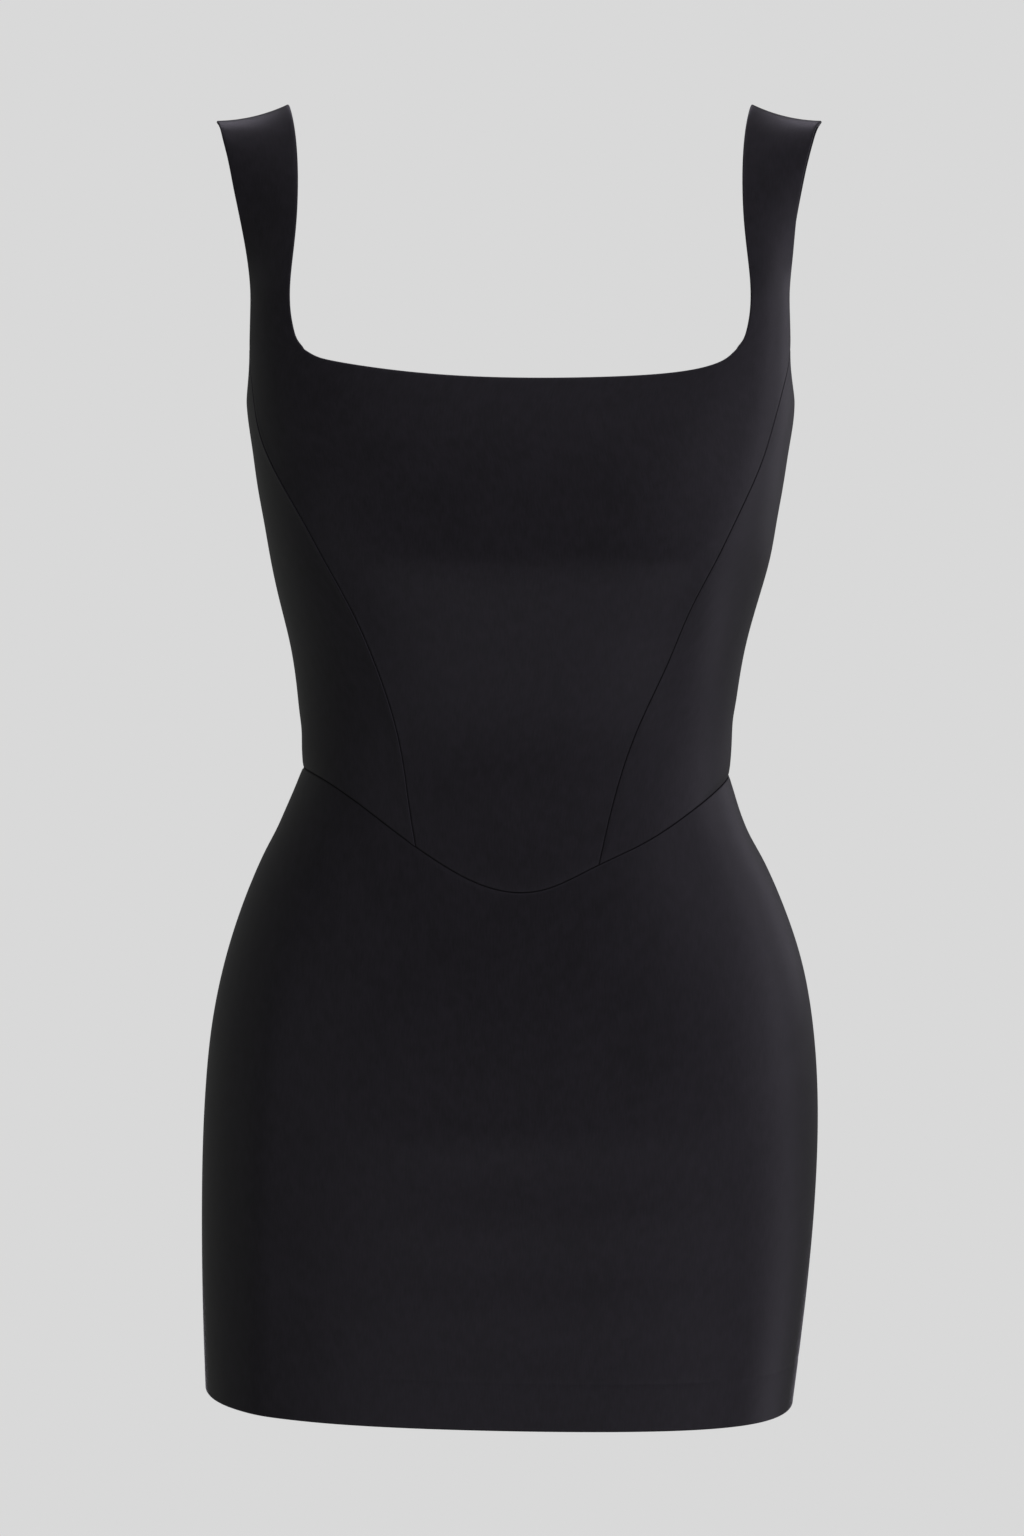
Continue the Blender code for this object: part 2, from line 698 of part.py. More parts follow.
def zip_pull(pivot, material):
    """The tab that hangs on the bridge. Its bar lies on the pivot, and the bridge's leg is in its eye."""
    outline = list(zip(PULL_OUTLINE["half_width"], -PULL_OUTLINE["below_bar"]))
    outline += [(-x, z) for x, z in reversed(outline)]
    count = len(outline)
    points = [(x, y, z) for y in (-PULL / 2, PULL / 2) for x, z in outline]
    polygons = [list(range(count)), list(range(count, 2 * count))]
    for i in range(count):
        after = (i + 1) % count
        polygons.append([i, after, after + count, i + count])
    pull = solid("zip_pull", points, polygons, material)
    low = (-PULL_EYE_HALF_WIDTH, -PULL, -PULL / 2 - PULL_EYE_LENGTH)
    eye = block("pull_eye", low, (PULL_EYE_HALF_WIDTH, PULL, -PULL / 2), material)
    combine(pull, "DIFFERENCE", eye)
    pull.parent = pivot
    return pull


def empty(name, location, tilt):
    """A place to mount pieces on, tilted about X."""
    built = bpy.data.objects.new(name, None)
    built.location = location
    built.rotation_euler = (tilt, 0, 0)
    bpy.context.scene.collection.objects.link(built)
    return built


def zip_parts(tape_material, metal):
    zip_tape(tape_material)
    seat = body(180.0, SLIDER)
    facing = outward(180.0, SLIDER)
    tilt = math.atan2(facing[2], facing[1])
    bar_reach = ZIP_CLEARANCE + SADDLE + ZIP_CLEARANCE + PULL / 2
    bridge_reach = bar_reach + PULL / 2 + ZIP_CLEARANCE + BRIDGE_WALL
    zip_slider(empty("slider_mount", seat * MM, tilt), bridge_reach, metal)
    zip_pull(empty("pull_pivot", (seat + facing * bar_reach) * MM, tilt), metal)


def dress():
    crepe = principled("black_crepe", CREPE_BLACK, 0.5)
    straps = {side: Strap(side) for side in (-1, 1)}
    spread = even_spread(2 * STRAP_SPLIT + CENTRE_SPLIT)
    centre_feet = blend(foot_of(front_edge(-1)), foot_of(front_edge(1)), spread)
    front_centre_panel(straps, centre_feet, crepe)
    front_side_feet = {}
    for side, name in ((-1, "right"), (1, "left")):
        feet = blend(foot_of(front_edge(side)), side * SIDE_SEAM, even_spread(SIDE_SPLIT))
        side_panel(f"front_side_panel_{name}", front_edge(side), side, feet, CORNER, crepe)
        front_side_feet[side] = feet
        back_princess = foot_of(back_edge(side))
        side_feet = blend(back_princess, side * SIDE_SEAM, even_spread(BACK_SIDE_SPLIT))
        panel_feet = blend(back_princess, foot_of(placket(side)), even_spread(STRAP_SPLIT + BACK_SPLIT))
        side_panel(f"back_side_panel_{name}", back_edge(side), side, side_feet, BACK_CORNER, crepe)
        back_panel(f"back_panel_{name}", side, straps[side], panel_feet, crepe)
        skirt_back(f"skirt_back_{name}", side, np.concatenate([side_feet[::-1], panel_feet[1:]]), crepe)
    skirt_front(np.concatenate([front_side_feet[-1][:0:-1], centre_feet, front_side_feet[1][1:]]), crepe)


def principled(name, colour, roughness, metallic=0.0):
    material = bpy.data.materials.new(name)
    material.use_nodes = True
    shader = material.node_tree.nodes["Principled BSDF"]
    shader.inputs["Base Color"].default_value = colour
    shader.inputs["Roughness"].default_value = roughness
    shader.inputs["Metallic"].default_value = metallic
    return material


def clear_scene():
    for old in list(bpy.data.objects):
        bpy.data.objects.remove(old, do_unlink=True)


clear_scene()
dress()
zip_parts(principled("zip_tape", TAPE_BLACK, 0.8), principled("black_lacquer", LACQUER_BLACK, 0.35, 0.4))
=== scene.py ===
"""A short fitted dress with a square neck, wide straps and a corset bodice.

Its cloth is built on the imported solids. The file is laid out as an add-on and runs as a script.
The forms are worked out in millimetres and degrees: height is up, angles go round the body from
the front's centre to the wearer's left, and a side is -1 for the wearer's right and 1 for the
left. Meshes are in metres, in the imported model's frame.
"""

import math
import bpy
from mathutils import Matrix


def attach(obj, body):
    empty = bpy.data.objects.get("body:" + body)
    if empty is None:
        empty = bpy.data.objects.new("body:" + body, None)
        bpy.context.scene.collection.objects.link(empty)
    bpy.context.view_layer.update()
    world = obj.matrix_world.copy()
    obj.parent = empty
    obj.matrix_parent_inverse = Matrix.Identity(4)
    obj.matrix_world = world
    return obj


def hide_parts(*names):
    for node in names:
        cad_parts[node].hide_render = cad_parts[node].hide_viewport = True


bl_info = {
    "name": "Bodycon dress",
    "version": (1, 0, 0),
    "blender": (4, 5, 0),
    "location": "3D View > Sidebar > Dress",
    "description": "Builds a fitted dress's cloth, seams and zip on its solids, with its studio",
    "category": "Add Mesh",
}

import bpy
import numpy as np
from mathutils import Vector

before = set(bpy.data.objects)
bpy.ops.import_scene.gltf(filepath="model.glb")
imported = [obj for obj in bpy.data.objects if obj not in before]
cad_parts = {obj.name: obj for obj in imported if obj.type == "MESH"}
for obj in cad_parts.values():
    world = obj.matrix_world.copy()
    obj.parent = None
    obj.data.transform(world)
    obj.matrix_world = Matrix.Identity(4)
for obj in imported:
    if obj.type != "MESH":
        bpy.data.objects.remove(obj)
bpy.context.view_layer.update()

MM = 0.001


def table(columns, *rows):
    """A table's columns by name."""
    return dict(zip(columns, np.array(rows, float).T, strict=True))


# The skin that the cloth follows, one row a level. Right, left, front and back are its reach in x
# and y. The squareness of its front and back half is 0 for an ellipse.
BODY = table(
    ("height", "right", "left", "front", "back", "front_square", "back_square"),
    (-100, -153, 152.6, -80, 84, 0.080, 0.080),
    (-120, -153, 152.8, -86, 89, 0.080, 0.080),
    (-145, -153.3, 153, -95, 94, 0.076, 0.070),
    (-170, -152.6, 153.4, -103.5, 97, 0.070, 0.050),
    (-190, -149.8, 150.5, -109.5, 98, 0.066, 0.040),
    (-210, -147, 147.3, -113.7, 98, 0.064, 0.035),
    (-230, -143.4, 143.7, -116.3, 97, 0.060, 0.030),
    (-250, -139.9, 140.1, -117, 95, 0.054, 0.028),
    (-272, -135.4, 134.2, -113.5, 92, 0.046, 0.025),
    (-300, -128.9, 126.7, -106, 87, 0.038, 0.022),
    (-330, -124.9, 121.8, -99.5, 82, 0.030, 0.020),
    (-355, -123.9, 119.7, -96, 79.5, 0.028, 0.020),
    (-375, -126.2, 120.6, -95, 80, 0.028, 0.020),
    (-395, -133.8, 125, -95.5, 83.5, 0.028, 0.022),
    (-420, -145.7, 136.8, -97.8, 91, 0.030, 0.025),
    (-450, -158, 150, -101, 101, 0.033, 0.028),
    (-480, -167.4, 159.8, -104, 110, 0.036, 0.030),
    (-515, -174.7, 166.2, -106.5, 116.5, 0.038, 0.030),
    (-550, -178.5, 169, -107.6, 119.5, 0.040, 0.030),
    (-590, -180.5, 169, -106.8, 118, 0.040, 0.030),
    (-630, -181, 166.7, -105.3, 113, 0.040, 0.030),
    (-680, -180.4, 161.7, -103.6, 106.5, 0.042, 0.032),
    (-730, -178.8, 155.5, -102, 101.5, 0.045, 0.034),
)
WAIST_NIP = 2.2  # the waist seam nips the sides in, by this much
WAIST_NIP_REACH = 9.0  # and over this height

# The waist seam round the body
WAIST_LEVEL = -385.0  # about where it lies
WAIST = table(
    ("angle", "height"),
    (-180, -371),
    (-130, -370),
    (-100, -368),
    (-77, -368.3),
    (-60, -371.7),
    (-45, -380),
    (-30, -394.6),
    (-15, -414.8),
    (-5, -427.6),
    (0, -430.6),
    (5, -429.9),
    (15, -419.5),
    (30, -405),
    (45, -391.8),
    (60, -381.6),
    (77, -374.9),
    (100, -372.5),
    (130, -371),
    (180, -371),
)

# A middle panel's long edges: the princess seam up to the neck corner's height, and the armhole
# above it
FRONT_EDGE = table(
    ("height", "right", "left"),
    (-100, -149.2, 149.1),
    (-120, -149.3, 149.2),
    (-136, -149.5, 149.2),
    (-155, -147.5, 144.8),
    (-175, -143.7, 138.8),
    (-198, -134.7, 131.2),
    (-220, -122, 121),
    (-245, -107.4, 108.3),
    (-272, -93.1, 94.2),
    (-306, -78.6, 80.4),
    (-337, -68.6, 66.3),
    (-363, -63.3, 56.3),
    (-389, -60.2, 49.2),
    (-410, -57.2, 44.7),
)
BACK_EDGE = table(
    ("height", "right", "left"),
    (-100, -149.8, 149.4),
    (-125, -149.85, 149.65),
    (-137, -149.75, 149.45),
    (-150, -149, 149),
    (-175, -141, 141),
    (-210, -122, 122),
    (-250, -101, 101),
    (-300, -79, 79),
    (-340, -67, 67),
    (-375, -60, 60),
)

# The neck's sides, from the middle of a corner up to the strap's foot
FRONT_NECK_SIDE = table(
    ("height", "across"),
    (-136, 117.6),
    (-132, 120.7),
    (-125, 123.7),
    (-115, 125.6),
    (-105, 126.1),
)
BACK_NECK_SIDE = table(
    ("height", "across"),
    (-150, 127),
    (-145, 130.5),
    (-136, 133.5),
    (-122, 134.8),
    (-105, 134.8),
)

# The neck's lower edges, from corner to corner
FRONT_NECK = table(
    ("across", "height"),
    (-117.6, -136),
    (-112.3, -139.2),
    (-103.3, -142),
    (-86.8, -144.9),
    (-66.7, -147.6),
    (-38, -150.2),
    (0, -151.6),
    (43, -151.2),
    (70.1, -149.9),
    (90.8, -147.6),
    (105.8, -143.9),
    (113.5, -139.8),
    (117.6, -136),
)
BACK_NECK = table(
    ("across", "height"),
    (-127, -150),
    (-115, -159.5),
    (-100, -164.5),
    (-75, -168.5),
    (-40, -171),
    (0, -172),
    (40, -171),
    (75, -168.5),
    (100, -164.5),
    (115, -159.5),
    (127, -150),
)

# The straps between their feet, from the front over the shoulder to the back. The outer edge bows
# out more on the wearer's right. The crown is how far the middle stands out from a straight line
# between the edges.
STRAP = table(
    ("inner_x", "inner_y", "inner_z", "right_x", "left_x", "outer_y", "outer_z", "crown"),
    (124.9, -60.2, -86, 151.2, 150.8, -35.5, -85, 2.4),
    (123.0, -51.7, -65, 155.1, 152.9, -32.5, -64, 1.6),
    (122.5, -42.7, -46, 158.9, 155.6, -28.5, -46, 0.9),
    (123.1, -33.7, -30, 162.2, 159.2, -22.8, -30, 0.2),
    (124.8, -23.5, -15, 165.6, 162.8, -15.5, -17, -0.8),
    (127.2, -12.5, -4, 167.8, 165.6, -8.0, -10, -1.7),
    (129.6, 0.0, 2, 169.5, 168.6, 0.0, -7.3, -2.2),
    (130.4, 12.0, -2, 167.4, 167.4, 8.2, -9.6, -1.6),
    (130.4, 23.0, -12, 165.0, 165.0, 16.5, -18, -0.8),
    (130.3, 33.0, -26, 162.4, 162.4, 23.5, -30, 0.0),
    (130.4, 42.0, -43, 159.7, 159.7, 29.2, -45, 0.6),
    (131.3, 50.5, -63, 156.8, 156.8, 33.8, -63, 1.1),
    (133.2, 58.0, -84, 153.6, 153.6, 37.0, -84, 1.6),
)
CREST = 6  # the row at the top of the shoulder
SHOULDER_SEAM = 8.0  # how far behind the crest a strap's two halves meet
FOOT_ROWS = (12.0, 5.0)  # how far below its foot a strap's curve takes in rows of skin

CORNER = -136.0  # the front neck's corners, and the tops of the front princess seams
BACK_CORNER = -150.0
UNDERARM = -168.0
SIDE_SEAM = 95.0
PLACKET = 14.0  # the flat width beside the zip
HEM = -727.0
HEM_DROP = 4.3  # the hem hangs lower on the left by this, and higher on the right

# The concealed zip in the centre-back seam
ZIP_END = -500.0
ZIP_CLEARANCE = 0.35
SLIDER = -180.0
SLIDER_HALF_HEIGHT = 4.2
SLIDER_GAP = 0.8  # how far the back's edges stand from the centre beside the slider
PLACKET_CLOSED = -215.0  # the edges have closed by here
ZIP_TOP = SLIDER - SLIDER_HALF_HEIGHT - ZIP_CLEARANCE

TAPE_WIDTH = 12.0
TAPE = 0.8
TAPE_PARTING = 0.05  # from the centre to each tape's edge
TAPE_EASE = 1.005  # how much longer it is than its height, as the back curves
COIL_REACH = 2.2  # from the centre to a coil's far side
COIL_OVERLAP = 0.9  # how far each coil reaches over the centre, between the other's turns
COIL_DEPTH = 1.2
COIL_THREAD = 0.26  # its radius
COIL_PITCH = 1.2
COIL_SPARE_TURNS = 2  # left off at its ends
PLATE = 1.5
PLATE_BEVEL = 0.35
SLIDER_PLATE = table(
    ("height", "half_width"),
    (-4.2, 1.2),
    (-4.2, 1.9),
    (-2.0, 2.0),
    (0.0, 2.1),
    (2.4, 2.4),
    (4.2, 2.3),
    (4.2, 1.0),
)
SLIDER_SADDLE = table(
    ("height", "half_width"),
    (-3.3, 0.5),
    (-3.3, 1.1),
    (-1.6, 1.3),
    (1.6, 1.3),
    (3.3, 1.1),
    (3.3, 0.5),
)
SADDLE = 0.75
SADDLE_BEVEL = 0.22
BRIDGE_HALF_WIDTH = 0.5
BRIDGE_HALF_HEIGHT = 2.5
BRIDGE_WALL = 0.8
BRIDGE_BEND = 0.9
PULL = 0.8
PULL_BEVEL = 0.2
BAR_REACH = ZIP_CLEARANCE + SADDLE + ZIP_CLEARANCE + PULL / 2
BRIDGE_REACH = BAR_REACH + PULL / 2 + ZIP_CLEARANCE + BRIDGE_WALL
PULL_OUTLINE = table(
    ("below_bar", "half_width"),
    (-0.4, 1.5),
    (0.2, 2.1),
    (4, 2.1),
    (7, 1.5),
    (12, 1.9),
    (17, 2.6),
    (20, 2.3),
    (22, 0.9),
)
PULL_EYE = table(
    ("height", "half_width"),
    (-3.3, 0.6),
    (-3.3, 1.0),
    (-0.4, 1.0),
    (-0.4, 0.6),
)

SIDES = {-1: "right", 1: "left"}

# The soft lights round the dress: azimuth, from 0 in front to 90 at the wearer's left, elevation,
# width, height and power in watts
LIGHTS = (
    ("low_right", -17, -30, 1.36, 1.1, 4.1),
    ("low_front", 13, -30, 1.36, 1.1, 2.9),
    ("low_left", 43, -30, 1.36, 1.1, 5.6),
    ("front_right", -47, -5, 1.36, 1.1, 1.9),
    ("side_left", 73, -5, 1.36, 1.1, 4.0),
    ("high_left", 43, 20, 1.36, 1.1, 5.0),
    ("high_side", 73, 20, 1.36, 1.1, 3.0),
    ("high_front", 10, 47, 2.0, 1.2, 3.3),
    ("top", 0, 75, 1.2, 1.2, 8.9),
    ("key", 100, 8, 1.0, 1.8, 7.0),
    ("key_low", 105, -30, 1.4, 1.1, 4.5),
    ("back_key", 135, 15, 1.2, 1.8, 5.0),
    ("back_top", 180, 62, 1.6, 1.2, 16.0),
    ("back_low", 180, -30, 1.8, 1.1, 12.0),
)

# How finely the cloth is divided
BODICE_ROWS = 112
SKIRT_ROWS = 150
HEM_ROWS = 12
HEM_LINE_ROWS = (1.6, 0.8, 0.4, 0.0, -0.4, -0.8, -1.6)  # the rows close to the hem's line
HEM_LINE_CLEAR = 3.2  # how far from it the even rows end
STRAP_COLUMNS = 16
STRAP_STEP = 2.2  # between a strap's rows
NECK_COLUMNS = 72
SIDE_COLUMNS = 28
BACK_COLUMNS = 36
PLACKET_COLUMNS = 6
TAPE_STEP = 4.0
TAPE_COLUMNS = 4

# And the zip's hard parts
COIL_TURN_POINTS = 10
COIL_SIDES = 5
BAR_SIDES = 16
BAR_ROUNDNESS = 0.35  # 1 for an oval section, and 0 for a square one
NECK_STEPS = 6
BEND_STEPS = 6
BEVEL_STEPS = 3
OUTLINE_STEPS = 6
SHARP_ANGLE = 40

# A piece's edge turns over in rings, from its face inwards
EDGE_RINGS = 4
GROOVE_SHADE_RINGS = (0.25, 0.85, 1.0, 1.0)  # how far in the seam each lies, where it is sewn, and so how much painted shade it takes
HIGHLIGHT_RINGS = (1.0, 0.3, 0.0, 0.0)  # how much painted highlight each takes where the edge stands up
SEAM_LAP = 0.05  # how far the edge presses into its neighbour's, so that no light comes through
MITRE = 0.5  # the least that a corner is drawn out by, so that a sharp one stays short
TIP_LENGTH = 20.0  # the rounding runs out over this length of a pointed tip
TIP_ROUNDING = 0.05  # to this share of it

# The stage
FLOOR_SIDES = 64
SENSOR_WIDTH = 36  # the camera's, in millimetres
FARTHEST_SEEN = 60  # metres

# How finely the skin is searched
NUDGE = 0.05  # from a place to the ones beside it that give the skin's slope
HALVINGS = 40
FOOT_STEPS = 60


class Curve:
    """A smooth curve through a table's rows. The first column says where they are."""

    def __init__(self, columns):
        where, *what = columns.values()
        order = np.argsort(where)
        self.at = where[order]
        self.values = np.stack(what, -1)[order]
        step = np.diff(self.at)
        slope = np.diff(self.values, axis=0) / step[:, None]
        system = np.eye(len(self.at))
        wanted = np.zeros_like(self.values)
        for i in range(1, len(self.at) - 1):
            system[i, i - 1 : i + 2] = step[i - 1], 2 * (step[i - 1] + step[i]), step[i]
            wanted[i] = 6 * (slope[i] - slope[i - 1])
        self.bend = np.linalg.solve(system, wanted)

    def __call__(self, at):
        at = np.asarray(at, float)
        i = np.clip(np.searchsorted(self.at, at) - 1, 0, len(self.at) - 2)
        step = (self.at[i + 1] - self.at[i])[..., None]
        after = (at - self.at[i])[..., None] / step
        before = 1 - after
        bow = (before**3 - before) * self.bend[i] + (after**3 - after) * self.bend[i + 1]
        return before * self.values[i] + after * self.values[i + 1] + bow * step**2 / 6


BODY_CURVE = Curve(BODY)
WAIST_CURVE = Curve(WAIST)
FRONT_EDGE_CURVE = Curve(FRONT_EDGE)
BACK_EDGE_CURVE = Curve(BACK_EDGE)
FRONT_NECK_CURVE = Curve(FRONT_NECK)
BACK_NECK_CURVE = Curve(BACK_NECK)


def blend(start, end, share):
    return start + (end - start) * share


def ease(share):
    """A smooth step from 0 to 1."""
    share = np.clip(share, 0, 1)
    return share * share * (3 - 2 * share)


def unit(vectors):
    return vectors / np.linalg.norm(vectors, axis=-1, keepdims=True)


def even_spread(count):
    return np.arange(count + 1) / count


def waist(angle):
    """The waist seam's height."""
    return WAIST_CURVE((angle + 180) % 360 - 180)[..., 0]


def hem(angle):
    """The hem's height."""
    return HEM - HEM_DROP * np.sin(np.radians(angle))


def body(angle, height):
    """The skin's point at an angle and a height."""
    angle, height = np.broadcast_arrays(np.asarray(angle, float), np.asarray(height, float))
    turn = np.radians(angle)
    right, left, front, back, front_square, back_square = np.moveaxis(BODY_CURVE(height), -1, 0)
    square = blend(front_square, back_square, (1 - np.cos(turn)) / 2)
    nip = WAIST_NIP * np.exp(-np.abs(height - waist(angle)) / WAIST_NIP_REACH) * np.sin(turn) ** 4
    half_width = (left - right) / 2 - nip
    half_depth = (back - front) / 2
    x = (left + right) / 2 + half_width * (np.sin(turn) + square * np.sin(3 * turn)) / (1 - square)
    y = (back + front) / 2 - half_depth * (np.cos(turn) - square * np.cos(3 * turn)) / (1 - square)
    return np.stack([x, y, height], -1)


def outward(angle, height):
    """The direction that the skin faces."""
    round_body = body(angle + NUDGE, height) - body(angle - NUDGE, height)
    up_body = body(angle, height + NUDGE) - body(angle, height - NUDGE)
    return unit(np.cross(round_body, up_body))


def angle_across(across, height, back):
    """The angle at which the front or back half of the skin is this far to the left."""
    across, height = np.broadcast_arrays(across, height)
    low = np.full(across.shape, -90.0)
    high = np.full(across.shape, 90.0)
    for _ in range(HALVINGS):
        middle = (low + high) / 2
        short = body(180 - middle if back else middle, height)[..., 0] < across
        low = np.where(short, middle, low)
        high = np.where(short, high, middle)
    if not back:
        return low
    return np.where(across < 0, -180 - low, 180 - low)


def edge_angle(curve, side, back):
    """A middle panel's long edge on one side, as its angle at each height."""
    return lambda height: angle_across(curve(height)[..., (side + 1) // 2], height, back)


def front_edge(side):
    return edge_angle(FRONT_EDGE_CURVE, side, back=False)


def back_edge(side):
    return edge_angle(BACK_EDGE_CURVE, side, back=True)


def side_seam(side):
    return lambda height: np.full(np.shape(height), side * SIDE_SEAM)


def centre_back(height):
    """How far to the left the centre of the back lies."""
    return body(180.0, height)[..., 0]


def placket(side):
    """The line that lies a placket's width from the zip."""
    return lambda height: angle_across(centre_back(height) + side * PLACKET, height, back=True)


def foot_of(edge):
    """The angle where an edge meets the waist seam."""
    angle = edge(WAIST_LEVEL)
    for _ in range(FOOT_STEPS):
        angle = blend(angle, edge(waist(angle)), 0.5)
    return angle


def fan(first_edge, last_edge, foot_angles, end_angles, heights, progress):
    """A piece's angles. Its columns stay between its long edges from its foot to its end."""

    def share(angles, levels):
        return (angles - first_edge(levels)) / (last_edge(levels) - first_edge(levels))

    columns = blend(share(foot_angles, heights[0]), share(end_angles, heights[-1]), progress)
    return blend(first_edge(heights), last_edge(heights), columns)


def bodice_piece(first_edge, last_edge, foot_angles, top_angles, top_heights):
    """The angles and heights of a bodice piece, row by row from the waist seam up."""
    rise = even_spread(BODICE_ROWS)[:, None]
    heights = blend(waist(foot_angles), top_heights, rise)
    return fan(first_edge, last_edge, foot_angles, top_angles, heights, rise), heights


def skirt_piece(first_edge, last_edge, foot_angles, hem_angles, hem_depth):
    """The angles and heights of a skirt piece, row by row from the waist seam down."""
    top = waist(foot_angles)
    bottom = hem(hem_angles)
    hem_line = bottom + hem_depth
    above = blend(top, hem_line + HEM_LINE_CLEAR, even_spread(SKIRT_ROWS)[:, None])
    beside = hem_line + np.array(HEM_LINE_ROWS)[:, None]
    below = blend(hem_line - HEM_LINE_CLEAR, bottom, even_spread(HEM_ROWS)[:, None])
    heights = np.concatenate([above, beside, below])
    progress = (top - heights) / (top - bottom)
    return fan(first_edge, last_edge, foot_angles, hem_angles, heights, progress), heights


def with_placket(angles, heights, side, centre_heights):
    """Adds the columns from the placket's line to the centre of the back."""
    share = even_spread(PLACKET_COLUMNS)[1:]
    more_angles = blend(angles[:, -1:], side * 180.0, share)
    more_heights = blend(heights[:, -1:], centre_heights[:, None], share)
    return np.hstack([angles, more_angles]), np.hstack([heights, more_heights])


def placket_gap(height):
    """How far a back piece's edge stands from the centre: more where the slider's neck passes."""
    share = (height - PLACKET_CLOSED) / (SLIDER - SLIDER_HALF_HEIGHT - PLACKET_CLOSED)
    return SLIDER_GAP * ease(share)


# Soft creases that the cloth takes as it is worn: troughs, and ridges where the depth is negative.
# The tilt is from level, rising to the wearer's left.
CREASES = table(
    ("angle", "height", "length", "tilt", "width", "depth"),
    (2, -247, 190, 0, 12, -0.6),
    (36, -252, 84, -4, 28, -1.3),
    (55, -254, 64, -6, 20, 1.3),
    (2, -374, 130, 0, 26, -1.5),
    (-42, -252, 90, 4, 27, -1.1),
    (0, -284, 150, -2, 15, 0.5),
    (-6, -197, 90, 3, 13, 0.25),
    (3, -565, 150, 1.5, 12, -0.5),
    (8, -589, 110, -1, 12, 0.28),
    (6, -613, 130, 2, 12, -0.28),
    (10, -637, 120, -1, 12, 0.22),
    (4, -660, 140, 1, 12, -0.22),
    (12, -684, 110, -2, 10, 0.2),
    (58, -528, 60, 12, 9, 0.35),
    (-47, -605, 300, 90, 15, -1.4),
    (100, -215, 60, -30, 9, 0.6),
    (-102, -222, 55, 28, 9, 0.55),
    (92, -345, 70, -12, 9, 0.6),
    (-90, -349, 75, 10, 9, 0.6),
    (88, -408, 80, 14, 10, 0.5),
    (-93, -402, 70, -10, 10, 0.5),
    (176, -345, 120, 4, 12, 0.9),
    (-178, -318, 90, -5, 10, 0.5),
    (-150, -430, 80, 20, 12, 0.5),
    (152, -436, 85, -17, 12, 0.45),
    (178, -570, 160, -1.5, 13, -0.5),
    (-172, -596, 120, 2, 12, 0.35),
    (172, -622, 140, 1, 12, -0.35),
    (-176, -648, 110, -2, 11, 0.3),
)
SKIN_PER_DEGREE = 2.4  # millimetres round the body

# How far a front princess seam stands out over its turned edges on each side, and how far that
# reaches. It grows above the waist seam and runs out below the neck's corners.
SEAM_RIDGES = {-1: 1.4, 1: 0.2}
SEAM_RIDGE_REACH = 13.0
SEAM_RIDGE_RISE = 30.0
SEAM_RIDGE_END = 15.0
SEAM_RIDGE_FALL = 40.0

# How far the waist seam draws the cloth in at the sides and in the middle, and how far up and down
# that reaches
WAIST_DRAW = (0.4, 3.2)
WAIST_DRAW_REACH = 30.0
SEAM_PINCH = 0.6  # how far its stitches pinch the cloth close by
SEAM_PINCH_REACH = 7.0


def drape(angle, height):
    """How far the cloth stands out from the skin, or in where it is negative."""
    proud = np.zeros(np.broadcast(angle, height).shape)
    for at_angle, at_height, length, tilt, width, depth in zip(*CREASES.values(), strict=True):
        round_body = ((angle - at_angle + 180) % 360 - 180) * SKIN_PER_DEGREE
        up_body = height - at_height
        rise, run = math.sin(math.radians(tilt)), math.cos(math.radians(tilt))
        along = (round_body * run + up_body * rise) / (length / 2)
        across = (up_body * run - round_body * rise) / width
        proud -= depth * np.exp(-(across**2)) * np.exp(-np.abs(along) ** 3)
    above_waist = height - waist(angle)
    below_corners = CORNER - SEAM_RIDGE_END - height
    between = ease(above_waist / SEAM_RIDGE_RISE) * ease(below_corners / SEAM_RIDGE_FALL)
    for side, ridge in SEAM_RIDGES.items():
        away = np.abs(angle - front_edge(side)(height)) * SKIN_PER_DEGREE
        proud += ridge * between * np.exp(-away / SEAM_RIDGE_REACH)
    from_waist = np.abs(above_waist)
    draw = blend(*WAIST_DRAW, np.cos(np.radians(angle)) ** 2)
    draw = draw * np.exp(-from_waist / WAIST_DRAW_REACH)
    return proud - draw - SEAM_PINCH * np.exp(-from_waist / SEAM_PINCH_REACH)


